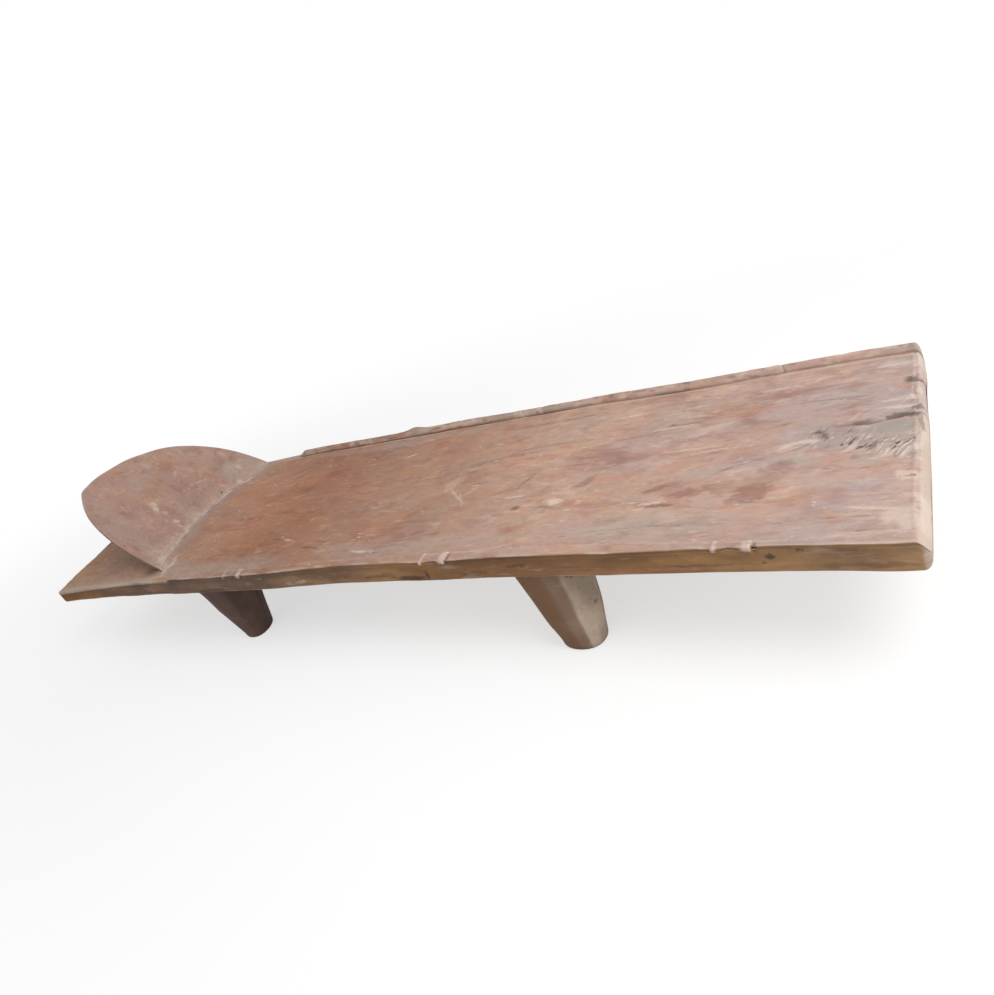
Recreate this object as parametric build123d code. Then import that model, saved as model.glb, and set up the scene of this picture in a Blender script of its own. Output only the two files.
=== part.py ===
from build123d import *
import math
import os

# Senufo daybed: one log hewn to a long plank on four legs, with low rims along both
# sides, a sloping headrest and a bare tail board that runs on under the headrest.
# The real bed has no joints. It is divided here where the carver changes from one
# form to the next, and the pieces meet face to face.
# Millimetres. Origin on the floor under the middle of the bed, +X to the foot end,
# +Y to the far side, +Z up.

# Plank
overall_length = 2200.0
plank_width = 520.0
log_bow = 28.0  # how far the middle of the log bends to the far side
underside_height = 200.0  # floor to the underside of the plank
deck_thickness = 42.0
foot_near_corner = 14.0  # rounding of the plank's corners, seen from above
foot_far_corner = 30.0
foot_top_rounding = 14.0  # rounding of the end, seen from the side
foot_bottom_rounding = 14.0

# Rims along both sides of the deck: a crest on the inside, sloping down outwards
rim_height = 12.0
rim_width = 20.0
rim_slope_width = 12.0
rim_slope_drop = 5.0
rim_inner_bevel = 4.0
near_rim_start = 517.0  # distances from the tail end
far_rim_start = 605.0

# Pairs of notches cut across the rims
near_notch_pairs = (782.0, 1362.0, 1939.0)  # distances from the tail end
far_notch_pairs = (852.0, 1382.0, 1922.0)
notch_spacing = 58.0
notch_width = 16.0
notch_depth = 6.0
notch_slant = 20.0  # degrees off square to the rim

# Tail board
crease_from_tail = 467.0  # tail end to the crease where deck and headrest meet
tail_width = 474.0
tail_end_thickness = 36.0
tail_corner = 26.0
tail_rounding = 14.0

# Headrest
headrest_slope = 35.0  # degrees above the deck
headrest_rise = 377.0  # measured up the slope
headrest_near_inset = 45.0  # from the plank's side to the headrest's side
headrest_far_inset = 9.0
headrest_crown_shift = 61.0  # how far its highest point lies to the near side
headrest_fullness = 2.2  # 2 is an ellipse, more is squarer
headrest_dish = 30.0  # hollow across its face, at the crease
headrest_crown_dish = 10.0  # the same at its highest point
headrest_middle_thickness = 30.0
headrest_edge_thickness = 20.0
headrest_crown_thickness = 14.0

# Legs
head_legs_from_tail = 628.0  # tail end to the middle of the legs' tops
foot_legs_from_tail = 1571.0
head_leg_top_length = 174.0  # along the bed
foot_leg_top_length = 150.0
leg_top_width = 128.0  # across the bed
head_leg_tip_length = 72.0
foot_leg_tip_length = 88.0
leg_tip_width = 72.0
leg_top_inset = 68.0  # from the plank's side to the leg's middle
head_leg_tip_inset = 64.0
foot_leg_tip_inset = 36.0
head_leg_lean = 14.0  # how far a tip leans to its own end of the bed
foot_leg_lean = 20.0
leg_tip_rounding = 14.0

# Places worked out from the sizes above
half_length = overall_length / 2
deck_top = underside_height + deck_thickness
rim_top = deck_top + rim_height
crease_x = crease_from_tail - half_length
spare = 50.0  # how far cutting tools run past what they cut
NEAR = -1
FAR = 1


def centre_line(x):
    """Middle of the bent plank at a distance along the bed."""
    return log_bow * (0.5 - (x / half_length) ** 2)


def side_line(x, side, inset=0.0):
    """Place across the bed of a line parallel to one side of the plank."""
    return centre_line(x) + side * (plank_width / 2 - inset)


headrest_near_y = side_line(crease_x, NEAR, headrest_near_inset)
headrest_far_y = side_line(crease_x, FAR, headrest_far_inset)
headrest_middle_y = (headrest_near_y + headrest_far_y) / 2
headrest_half = (headrest_far_y - headrest_near_y) / 2
slope_sin = math.sin(math.radians(headrest_slope))
# The headrest's foot covers these distances behind the crease.
root_edge_depth = headrest_edge_thickness / slope_sin
root_middle_front = headrest_dish / slope_sin
root_middle_depth = headrest_middle_thickness / slope_sin


def side_arc(side):
    """The bent side of the plank, from the crease to the foot."""
    middle = (crease_x + half_length) / 2
    return ThreePointArc(*[(x, side_line(x, side)) for x in (crease_x, middle, half_length)])


def plank_plan():
    """Outline of the whole plank seen from above, tail to foot."""
    near = side_arc(NEAR)
    far = side_arc(FAR)
    tail_y = centre_line(-half_length)
    tail_near = (-half_length, tail_y - tail_width / 2)
    tail_far = (-half_length, tail_y + tail_width / 2)
    outline = [
        near,
        Line(near @ 1, far @ 1),
        far,
        Line(far @ 0, tail_far),
        Line(tail_far, tail_near),
        Line(tail_near, near @ 0),
    ]
    plan = make_face(outline)
    corners = plan.vertices()
    tail_corners = corners.filter_by(lambda v: v.X < crease_x - 1)
    plan = fillet(tail_corners, tail_corner)
    near_foot = plan.vertices().sort_by_distance(near @ 1)[0]
    plan = fillet(near_foot, foot_near_corner)
    far_foot = plan.vertices().sort_by_distance(far @ 1)[0]
    return fillet(far_foot, foot_far_corner)


def plank_profile():
    """Outline of the whole plank seen from the side, with its rounded ends."""
    step_x = crease_x - root_middle_front - root_middle_depth - rim_height
    rise_x = min(near_rim_start, far_rim_start) - half_length - 1
    tail_top = underside_height + tail_end_thickness
    points = [
        (-half_length, underside_height),
        (half_length, underside_height),
        (half_length, rim_top),
        (rise_x, rim_top),
        (rise_x, deck_top),
        (step_x, deck_top),
        (-half_length, tail_top),
    ]
    profile = make_face(Polyline(*points, close=True))
    for place, radius in (
        ((-half_length, tail_top), tail_rounding),
        ((-half_length, underside_height), tail_rounding),
        ((half_length, underside_height), foot_bottom_rounding),
        ((half_length, rim_top), foot_top_rounding),
    ):
        corner = profile.vertices().sort_by_distance((*place, 0))[0]
        profile = fillet(corner, radius)
    return Plane.XZ * profile


def hewn_plank():
    """The plank before it is divided, at the full height of the rims."""
    standing = extrude(plank_plan(), rim_top + spare)
    lying = extrude(plank_profile(), plank_width, both=True)
    return standing & lying


def head_division():
    """Everything on the tail's side of the line where deck and tail board meet."""
    edge_x = crease_x - root_edge_depth / 2
    middle_x = crease_x - root_middle_front - root_middle_depth / 2
    reach = plank_width / 2 + spare
    behind = -half_length - spare
    near = (edge_x, headrest_middle_y - reach)
    far = (edge_x, headrest_middle_y + reach)
    outline = [
        Line((behind, near[1]), (edge_x, near[1])),
        ThreePointArc(near, (middle_x, headrest_middle_y), far),
        Line(far, (behind, far[1])),
        Line((behind, far[1]), (behind, near[1])),
    ]
    return extrude(make_face(outline), rim_top + spare)


def slab_between(low, high):
    """A block as large as the bed between two heights."""
    centre = (0, 0, (low + high) / 2)
    return Pos(*centre) * Box(overall_length + 2 * spare, 2 * plank_width, high - low)


def footward_of(x):
    """A block that holds everything from a place along the bed to its foot."""
    size = (overall_length, 2 * plank_width, rim_top + spare)
    return Pos(x, 0, 0) * Box(*size, align=(Align.MIN, Align.CENTER, Align.MIN))


def deck(plank):
    body = plank - head_division()
    return body & slab_between(underside_height - spare, deck_top)


def tail_board(plank):
    body = plank & head_division()
    return body & slab_between(underside_height - spare, deck_top)


def notch(x, side):
    """A V-shaped cutter that runs aslant across a rim."""
    half = notch_width / 2
    cutter = make_face(Polyline((-half, 0), (half, 0), (0, -notch_depth), close=True))
    cutter = extrude(Plane.XZ * cutter, 2 * rim_width, both=True)
    return Pos(x, side_line(x, side), rim_top) * Rot(Z=-notch_slant) * cutter


def rim_section(path, side):
    """The rim cut across, where the plank's side begins."""
    along = path % 0
    inward = Vector(-along.Y, along.X) * -side
    corners = [
        (0, deck_top),
        (0, rim_top - rim_slope_drop),
        (rim_slope_width, rim_top),
        (rim_width - rim_inner_bevel, rim_top),
        (rim_width, rim_top - rim_inner_bevel),
        (rim_width, deck_top),
    ]
    points = [path @ 0 + inward * inset + Vector(0, 0, height) for inset, height in corners]
    return make_face(Polyline(*points, close=True))


def rim(plank, side, start, pairs):
    """One raised rim with its crest on the inside, notched across in pairs."""
    path = side_arc(side)
    body = sweep(rim_section(path, side), path) & plank & footward_of(start - half_length)
    for pair in pairs:
        for shift in (-notch_spacing / 2, notch_spacing / 2):
            body -= notch(pair - half_length + shift, side)
    return body


def headrest_outline():
    """Outline on the slope: X across the bed, Y up the slope from the crease."""
    crown = -headrest_crown_shift
    near_reach = headrest_half - headrest_crown_shift
    far_reach = headrest_half + headrest_crown_shift
    power = 2 / headrest_fullness
    steps = 8
    points = []
    for step in range(2 * steps + 1):
        turn = math.pi * step / (2 * steps)
        reach = near_reach if step < steps else far_reach
        across = -math.copysign(abs(math.cos(turn)) ** power, math.cos(turn))
        points.append((crown + reach * across, headrest_rise * math.sin(turn) ** power))
    curve = Spline(*points, tangents=((0, 1), (0, -1)))
    return make_face([curve, Line(points[-1], points[0])])


def trough(radius, lowest, tilt):
    """A long cylinder along the slope whose lowest line passes under the crease."""
    length = 4 * headrest_rise
    lying = Rot(X=90) * Cylinder(radius, length)
    return Rot(X=tilt) * Pos(0, 0, radius - lowest) * lying


def headrest():
    """A dished, thin-edged slab that rises from the deck towards the tail end."""
    slope = Plane(
        origin=(crease_x, headrest_middle_y, deck_top),
        x_dir=(0, 1, 0),
        z_dir=(slope_sin, 0, math.cos(math.radians(headrest_slope))),
    )
    deepest = headrest_dish + headrest_middle_thickness
    sag = deepest - headrest_edge_thickness
    face_radius = (headrest_half**2 + headrest_dish**2) / (2 * headrest_dish)
    back_radius = (headrest_half**2 + sag**2) / (2 * sag)
    shallowing = headrest_dish - headrest_crown_dish
    thinning = shallowing + headrest_middle_thickness - headrest_crown_thickness
    face_tilt = math.degrees(math.atan2(shallowing, headrest_rise))
    back_tilt = math.degrees(math.atan2(thinning, headrest_rise))
    blank = extrude(headrest_outline(), -2 * deepest)
    slab = blank & trough(back_radius, deepest, back_tilt)
    slab -= trough(face_radius, headrest_dish, face_tilt)
    return (slope * slab) & slab_between(deck_top, deck_top + headrest_rise)


def leg(from_tail, side, top_length, tip_length, tip_inset, lean):
    """A tapered leg with a rounded tip, splayed to its own side and end of the bed."""
    top_x = from_tail - half_length
    tip_x = top_x + lean
    top_y = side_line(top_x, side, leg_top_inset)
    tip_y = side_line(top_x, side, tip_inset)
    top = Pos(top_x, top_y, underside_height) * Ellipse(top_length / 2, leg_top_width / 2)
    tip = Pos(tip_x, tip_y, 0) * Ellipse(tip_length / 2, leg_tip_width / 2)
    body = loft([tip, top])
    return fillet(body.edges().sort_by(Axis.Z)[0], leg_tip_rounding)


def build():
    """Every named piece of the bed."""
    plank = hewn_plank()
    head_sizes = (head_leg_top_length, head_leg_tip_length, head_leg_tip_inset, -head_leg_lean)
    foot_sizes = (foot_leg_top_length, foot_leg_tip_length, foot_leg_tip_inset, foot_leg_lean)
    return {
        "deck": deck(plank),
        "near_rim": rim(plank, NEAR, near_rim_start, near_notch_pairs),
        "far_rim": rim(plank, FAR, far_rim_start, far_notch_pairs),
        "tail_board": tail_board(plank),
        "headrest": headrest(),
        "head_near_leg": leg(head_legs_from_tail, NEAR, *head_sizes),
        "head_far_leg": leg(head_legs_from_tail, FAR, *head_sizes),
        "foot_near_leg": leg(foot_legs_from_tail, NEAR, *foot_sizes),
        "foot_far_leg": leg(foot_legs_from_tail, FAR, *foot_sizes),
    }


os.makedirs("parts", exist_ok=True)
for name, piece in build().items():
    export_step(piece, f"parts/{name}.step")
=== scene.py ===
# Daybed hewn from one log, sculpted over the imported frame
import math
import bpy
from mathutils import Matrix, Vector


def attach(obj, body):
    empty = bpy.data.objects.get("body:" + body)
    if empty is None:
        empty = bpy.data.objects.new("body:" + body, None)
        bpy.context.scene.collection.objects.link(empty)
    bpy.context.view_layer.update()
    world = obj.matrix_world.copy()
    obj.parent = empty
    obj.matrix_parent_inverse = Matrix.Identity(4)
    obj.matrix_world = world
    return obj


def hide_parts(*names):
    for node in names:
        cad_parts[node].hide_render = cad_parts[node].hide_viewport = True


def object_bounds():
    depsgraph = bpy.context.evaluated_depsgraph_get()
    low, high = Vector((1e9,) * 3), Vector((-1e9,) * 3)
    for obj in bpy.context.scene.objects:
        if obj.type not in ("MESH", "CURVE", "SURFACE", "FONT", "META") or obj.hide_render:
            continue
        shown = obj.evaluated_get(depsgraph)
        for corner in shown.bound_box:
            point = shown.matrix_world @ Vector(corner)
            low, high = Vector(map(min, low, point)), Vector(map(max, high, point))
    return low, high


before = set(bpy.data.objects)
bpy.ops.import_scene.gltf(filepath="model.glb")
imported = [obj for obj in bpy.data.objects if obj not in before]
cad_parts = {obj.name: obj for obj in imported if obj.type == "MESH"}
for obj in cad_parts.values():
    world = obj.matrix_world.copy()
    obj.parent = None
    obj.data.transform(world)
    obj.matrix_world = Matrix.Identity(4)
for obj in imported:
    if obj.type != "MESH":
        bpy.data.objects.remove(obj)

from types import SimpleNamespace

import bmesh
import bpy
import numpy as np
from mathutils import Matrix, Vector

cadLow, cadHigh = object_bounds()
mm = 0.001
print("frame loaded:", len(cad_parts), "nodes")

camera = {
    "place": (1178.6, -1126.9, 1014.3),    # mm
    "yaw": -38.55, "pitch": 29.43, "roll": 27.95,    # degrees
    "lens": 27.81, "sensor": 36, "farthest": 50,
}


def buildCamera(c):
    yaw, pitch, roll = (math.radians(c[k]) for k in ("yaw", "pitch", "roll"))
    ahead = Vector((math.sin(yaw) * math.cos(pitch), math.cos(yaw) * math.cos(pitch), -math.sin(pitch)))
    right = Vector((math.cos(yaw), -math.sin(yaw), 0))
    down = ahead.cross(right)
    across = math.cos(roll) * right + math.sin(roll) * down
    below = -math.sin(roll) * right + math.cos(roll) * down
    data = bpy.data.cameras.new("roomCamera")
    data.lens, data.sensor_width, data.clip_end = c["lens"], c["sensor"], c["farthest"]
    view = bpy.data.objects.new("roomCamera", data)
    turned = Matrix((across, -below, -ahead)).transposed().to_4x4()
    turned.translation = Vector(c["place"]) * mm
    view.matrix_world = turned
    bpy.context.scene.collection.objects.link(view)
    bpy.context.scene.camera = view


buildCamera(camera)


# steady noise, all in mm
def scramble(index, seed):
    # one fixed number between 0 and 1 for each cell
    h = np.full(index[0].shape, seed * 1013 + 77, np.int64)
    for factor, part in zip((374761393, 668265263, 974634277), index):
        h = (h ^ (part * factor)) & 0xFFFFFFFF
        h = ((h ^ (h >> 13)) * 1274126177) & 0xFFFFFFFF
    return (h ^ (h >> 16)) / 4294967296.0


def softNoise(places, size, seed):
    # between -1 and 1, with cells of the given size
    cells, blend = [], []
    for place, step in zip(places, size):
        q = np.asarray(place, float) / step
        whole = np.floor(q)
        t = q - whole
        cells.append(whole.astype(np.int64))
        blend.append(t * t * t * (t * (6 * t - 15) + 10))
    total = 0
    for corner in range(2 ** len(size)):
        weight, index = 1, []
        for n in range(len(size)):
            bit = corner >> n & 1
            weight = weight * (blend[n] if bit else 1 - blend[n])
            index.append(cells[n] + bit)
        total = total + weight * scramble(index, seed)
    return 2 * total - 1


def roughNoise(places, size, seed, layers=3):
    total, strength = 0, 1.0
    for layer in range(layers):
        step = [s / 2.03 ** layer for s in size]
        total = total + strength * softNoise(places, step, seed + 17 * layer)
        strength *= 0.5
    return total / 1.5


def ease(value, low, high):
    t = np.clip((value - low) / (high - low), 0, 1)
    return t * t * (3 - 2 * t)


def patchy(places, size, seed, low=-0.4, high=0.4, least=0.0):
    # soft patches between least and 1
    return least + (1 - least) * ease(softNoise(places, size, seed), low, high)


def adzeScoops(a, b, size, seed, crisp=7.0):
    # lower envelope of shallow scoops: about -0.5 in a scoop, 0 on the ridge between two
    qa, qb = a / size[0], b / size[1]
    ia, ib = np.floor(qa).astype(np.int64), np.floor(qb).astype(np.int64)
    total = 0
    for da in (-1, 0, 1):
        for db in (-1, 0, 1):
            cell = ia + da, ib + db
            pa = cell[0] + 0.1 + 0.8 * scramble(cell, seed)
            pb = cell[1] + 0.1 + 0.8 * scramble(cell, seed + 1)
            lift = 0.45 * scramble(cell, seed + 2)
            total = total + np.exp(-crisp * ((qa - pa) ** 2 + (qb - pb) ** 2 + lift))
    return -np.log(total) / crisp - 0.75


def flow(x, table, width=18.0):
    # table of (place, value) pairs, with its corners taken off
    px, pv = zip(*table)
    return sum(np.interp(x + d * width, px, pv) for d in (-1, -0.5, 0, 0.5, 1)) / 5


def bump(gap, width):
    # a soft swelling that is 1 where the gap is 0
    return np.exp(-(gap / width) ** 2)


def roundOff(over, radius):
    # how far a rounded edge has fallen back, that far past its start
    return radius - np.sqrt(radius ** 2 - np.clip(over, 0, radius) ** 2)


def sideName(side):
    return "near" if side < 0 else "far"


# the plank
plank = {
    "headX": -1100.0, "footX": 1100.0, "creaseX": -633.0, "halfWidth": 260.0, "bow": 28.0,
    "underZ": 200.0, "deckZ": 242.0, "rimZ": 254.0,
    "tailCorner": 9.0, "tailTip": 10.0, "tailFace": {"sideTone": 0.55, "pale": 0.08, "ash": 0.15},
    "nearFootCorner": 12.0, "farFootCorner": 12.0, "footRun": 18.0, "footFall": 22.0, "footUnder": 11.0,
    "arris": 4.5, "underBevel": 4.5, "grid": 3.0,
    # along the tail board: its top, and its rounded edge
    "tailTop": [(-1100, 236), (-750, 242)], "tailArris": [(-1100, 3.0), (-1085, 8.5), (-700, 4.5)],
    # the headrest stands over the division of deck and tail board
    "headNearY": -210.3, "headFarY": 255.7, "divideDepth": 66.0, "divideEdge": -650.4, "divideRun": 160.0,
    # the worn sides, seen from above
    "nearEdge": [(-1100, -268), (-1000, -261), (-860, -256), (-633, -254), (-590, -254.5), (-570, -256),
                 (-432, -256.5), (-340, -255), (-218, -254.5), (-156, -251), (-35, -246.5), (80, -245.5),
                 (189, -248.5), (422, -249.5), (548, -253), (624, -256.5), (695, -257), (883, -262.5),
                 (992, -268), (1060, -272), (1100, -273)],
    "farEdge": [(-1100, 223), (-633, 264), (-500, 271), (-421, 273), (-341, 272), (-190, 268.5), (-120, 269),
                (-62, 273.6), (0, 272), (88, 273.5), (195, 269.5), (361, 268), (462, 267.5), (558, 266),
                (649, 263), (774, 259), (852, 257.5), (1000, 257.5), (1052, 257), (1100, 254)],
    # how far each end falls back, by place across the bed
    "tailBack": [(-270, 1), (-235, 0), (240, 0)],
    "footBack": [(-274, 1.5), (-250, 0), (-60, 0), (60, 1), (100, 3), (140, 4), (182, 3), (221, 4), (262, 8)],
    # how much lower the underside hangs than its nominal height
    "underSag": [(-1100, 2.5), (-600, 2), (-400, 1), (0, 2), (300, 3), (700, 4.5), (1100, 6)],
    # how sharply the top rolls over into the foot's end face, and where the split wood of that face starts
    "footRoll": [(-273, 2.4), (-60, 2.8), (20, 5), (270, 6)],
    "splitFrom": [(-273, 1089), (-60, 1091), (20, 1096), (270, 1097)],
    # depth of the headrest's face below its slope, where it meets the deck
    "creaseDip": [(-213, 0), (-200, 9), (-167, 21), (-132, 34), (-90, 41), (-19, 47), (19, 46), (63, 43),
                  (104, 35), (145, 23), (164, 12), (184, 4), (215, 1), (255, 0)],
}
headMiddle = (plank["headNearY"] + plank["headFarY"]) / 2
headHalf = (plank["headFarY"] - plank["headNearY"]) / 2
headSlope = math.radians(35)


def edgeY(x, side):
    y = flow(x, plank[sideName(side) + "Edge"])
    corner = plank[sideName(side) + "FootCorner"]
    y = y - side * roundOff(x - (plank["footX"] - corner), corner)
    corner = plank["tailCorner"]
    return y - side * roundOff(plank["headX"] + corner - x, corner)


def edgeGap(x, y):
    # distance to the nearer side of the plank
    return np.minimum(y - edgeY(x, -1), edgeY(x, 1) - y)


def endDrop(x, radius, end):
    # how far a rounded end has come down at x
    return roundOff(radius - np.abs(end - x), radius)


def endBack(x, y):
    tail = flow(y, plank["tailBack"], 9) * ease(-x, 1030, 1100)
    foot = flow(y, plank["footBack"], 9) * ease(x, 1030, 1100)
    return tail - foot


def footDrop(x, y):
    # the top rolls over into the end face, more gently on the near half
    over = np.clip(1 + (x - plank["footX"]) / plank["footRun"], 0, 1)
    return plank["footFall"] * over ** flow(y, plank["footRoll"], 9)


def creaseDip(y):
    return flow(y, plank["creaseDip"], 9)


def creaseLine(y):
    return plank["creaseX"] - creaseDip(y) / math.sin(headSlope)


# rims: a crest on the inside of each, sloping down outwards
rims = {
    "wall": 3.5, "arris": 2.2, "footRun": 16.0, "slant": 0.55,
    # a pair along the rim: two proud lips with a hollow between and a V cut behind the second
    "pair": [(-35, 0), (-31, 0.9), (-28, 0.95), (-22, 0.3), (-8, -0.6), (-2, -0.65), (6, -0.2), (22, 0.75),
             (28, 1), (30.5, -2.1), (36, -0.2), (39, 0)],
    # pairs: where they stand, each with its strength
    "near": {"start": -583.0, "rise": 16.0, "drop": 5.0, "slope": 5.0, "extra": 0.0, "lip": 2.4, "proud": 4.4,
             "pairs": [(-326.0, 0.8), (262.0, 0.95), (839.0, 1.0)], "splitFrom": 1090,
             "width": [(-600, 21), (-300, 20), (600, 23), (700, 20), (790, 15), (870, 10.5), (935, 10.5),
                       (1000, 17), (1050, 22), (1100, 23)]},
    "far": {"start": -505.0, "rise": 34.0, "drop": 3.0, "slope": 8.5, "extra": 2.0, "lip": 0.9, "proud": 1.2,
            "pairs": [(-248.0, 0.5), (282.0, 0.8), (822.0, 0.9)], "splitFrom": 1096,
            "width": [(-500, 17), (-300, 16), (-130, 13), (-60, 17), (300, 14), (450, 15), (560, 19),
                      (730, 18), (850, 13), (1000, 13), (1060, 17), (1100, 18)]},
    "farFade": (550, 800),            # where the dark line along the far rim's foot gets fainter
    "hump": (-64.0, 24.0, 6.5),       # place, half length and height of the swelling on the far rim
}


def rimOn(x, side):
    # 0 before the rim starts, 1 where it has its full height
    rim = rims[sideName(side)]
    return ease(x, rim["start"], rim["start"] + rim["rise"])


def farFade(x):
    return ease(x, *rims["farFade"])


def pairForm(x, inward, side):
    # how proud the nearest pair stands here, and the distance from its middle, aslant across the rim
    places, strengths = zip(*rims[sideName(side)]["pairs"])
    shifted = x - rims["slant"] * inward
    gaps = np.stack([shifted - place for place in places])
    nearest = np.abs(gaps).argmin(0)
    gap = np.take_along_axis(gaps, nearest[None], 0)[0]
    return flow(gap, rims["pair"], 1.2) * np.array(strengths)[nearest], gap


# relief shared by all pieces
relief = {
    "long": 1.7, "middle": 0.9, "small": 0.35, "fibre": 0.16, "scoop": 1.1, "tailShare": 1.5,
    "sideLong": 0.9, "sideScoop": 2.4, "underScoop": 5.0, "endRough": 1.6,
    "legSpots": [(-472, -184), (-472, 205), (471, -191), (471, 212)],   # where legs leave the underside
}

# open cracks in the deck: points, width, depth
cracks = [
    ([(948, 50), (967, 38), (990, 38), (1016, 36), (1040, 42), (1060, 46), (1092, 43)], 3.4, 6.0),
    ([(755, -73), (781, -53), (799, -45), (832, -36), (861, -27)], 2.0, 1.3),
    ([(858, -30), (906, -16), (937, 4)], 2.0, 1.8),
    ([(834, 60), (870, 64), (901, 68)], 1.7, 1.6),
    ([(933, 126), (975, 118), (1020, 104)], 1.4, 1.2),
    ([(-323, -117), (-262, -126), (-196, -142)], 1.7, 1.3),
    ([(-40, -78), (0, -92), (20, -102)], 1.5, 0.9),
    ([(520, 95), (610, 88), (700, 92)], 1.2, 0.8),
    ([(230, 120), (340, 112), (420, 118)], 1.2, 0.8),
    ([(-520, 90), (-420, 84), (-330, 92)], 1.3, 0.9),
    ([(-560, -20), (-470, -26), (-400, -20)], 1.2, 0.8),
    ([(560, -190), (680, -186), (760, -192)], 1.2, 0.8),
    ([(880, -205), (960, -200), (1060, -204)], 1.3, 1.0),
]
# a set of fine red-brown lines beside each other
lineSet = [
    ([(700, 126), (800, 133), (872, 142)], 2.1, 1.2), ([(722, 136), (812, 143), (862, 149)], 2.0, 1.1),
    ([(740, 146), (830, 153), (905, 161)], 2.2, 1.3), ([(762, 155), (860, 162), (960, 168)], 2.1, 1.3),
    ([(790, 164), (880, 171), (1000, 170)], 2.1, 1.1), ([(640, 112), (700, 118), (760, 122)], 2.0, 0.9),
    ([(880, 128), (960, 124), (1030, 118)], 2.0, 1.0), ([(300, 108), (390, 112), (450, 110)], 2.0, 0.8),
    ([(250, 88), (330, 96), (400, 94)], 2.0, 0.8), ([(-540, -60), (-480, -66), (-420, -62)], 2.2, 0.9),
    ([(-280, -40), (-220, -44), (-160, -40)], 2.0, 0.8), ([(480, 70), (540, 62), (600, 64)], 2.0, 0.8),
]


def lineGap(x, y, points):
    best = np.full(x.shape, 1e9)
    for (ax, ay), (bx, by) in zip(points, points[1:]):
        dx, dy = bx - ax, by - ay
        t = np.clip(((x - ax) * dx + (y - ay) * dy) / (dx * dx + dy * dy), 0, 1)
        best = np.minimum(best, np.hypot(x - ax - t * dx, y - ay - t * dy))
    return best


def crackLines(x, y, lines):
    # (how deep, how dark) over the whole deck
    depth, dark = np.zeros(x.shape), np.zeros(x.shape)
    for seed, (points, width, deep) in enumerate(lines):
        px, py = zip(*points)
        near = (x > min(px) - 12) & (x < max(px) + 12) & (y > min(py) - 12) & (y < max(py) + 12)
        if not near.any():
            continue
        cx, cy = x[near], y[near]
        wander = 1.6 * softNoise((cx, cy), (23, 60), 40 + seed)
        ends = ease(cx, min(px) - 4, min(px) + 26) * (1 - ease(cx, max(px) - 26, max(px) + 4))
        swell = 0.8 + 0.5 * softNoise((cx,), (22,), 60 + seed)
        shape = bump(lineGap(cx, cy + wander, points), width * swell) * ends
        depth[near] = np.maximum(depth[near], deep * shape)
        dark[near] = np.maximum(dark[near], min(1.0, 0.35 + deep * 0.13) * shape)
    return depth, dark


def roughPatch(x, y):
    # torn, adzed ground beside the open crack at the foot
    middle = 20 - 0.42 * (x - 930)
    inside = 1 - ease(np.abs(y - middle + 9 * softNoise((x, y), (26, 14), 81)), 18, 46)
    return inside * ease(x, 885, 950) * (1 - ease(x, 1078, 1098))


def struck(x, y, seed, turn=math.radians(54)):
    # short strokes of the adze, aslant to the log
    along, across = x * math.cos(turn) + y * math.sin(turn), y * math.cos(turn) - x * math.sin(turn)
    return softNoise((along, across), (24, 5), seed)


def topRelief(x, y):
    z = relief["long"] * softNoise((x, y), (430, 170), 3)
    z = z + relief["middle"] * softNoise((x, y), (150, 62), 5)
    z = z + relief["small"] * softNoise((x, y), (48, 15), 7)
    z = z + relief["fibre"] * softNoise((x, y), (34, 4.2), 9)
    z = z + relief["scoop"] * adzeScoops(x, y, (74, 46), 11) * patchy((x, y), (300, 160), 13, least=0.4)
    torn = roughPatch(x, y)
    if torn.max() > 0:
        z = z - torn * (1.6 + 1.2 * roughNoise((x, y), (30, 12), 83, 4) + 0.7 * struck(x, y, 85))
    return z


def sideRelief(x, z, side):
    push = relief["sideLong"] * softNoise((x, z), (240, 70), 21 + side)
    push = push + 0.45 * softNoise((x, z), (60, 24), 25 + side)
    push = push + relief["sideScoop"] * adzeScoops(x, z, (62, 34), 27 + side)
    push = push + 0.2 * softNoise((x, z), (26, 3.6), 31 + side)
    # the side comes out a little where the near rim starts
    if side < 0:
        push = push + 1.8 * ease(x, -600, -592) - 1.2
    form, _ = pairForm(x, 0 * x, side)
    return push + ease(z, 233, 246) * rims[sideName(side)]["proud"] * form


def underRelief(x, y):
    hollow = relief["underScoop"] * (0.67 + adzeScoops(x, y, (88, 60), 51))
    hollow = hollow + 1.2 * softNoise((x, y), (190, 110), 55)
    quiet = ease(edgeGap(x, y), 3, 34)
    for lx, ly in relief["legSpots"]:
        quiet = quiet * ease(np.hypot((x - lx) / 1.3, y - ly), 68, 105)
    return np.clip(hollow, -0.4, 4.5) * quiet


def grooveDip(d, x, seed):
    # the dark V along the inner foot of a rim; d is the distance from the wall
    deep = 3.6 + 1.1 * softNoise((x,), (90,), seed)
    return deep * np.exp(-(np.abs(d) / 2.0) ** 1.6) - 0.9 * bump(d - 6, 3.0)


# marks painted as mesh attributes
paints = ("sideTone", "endCut", "pale", "dark", "wine", "warm", "ash", "mauve", "grey", "torn")

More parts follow.
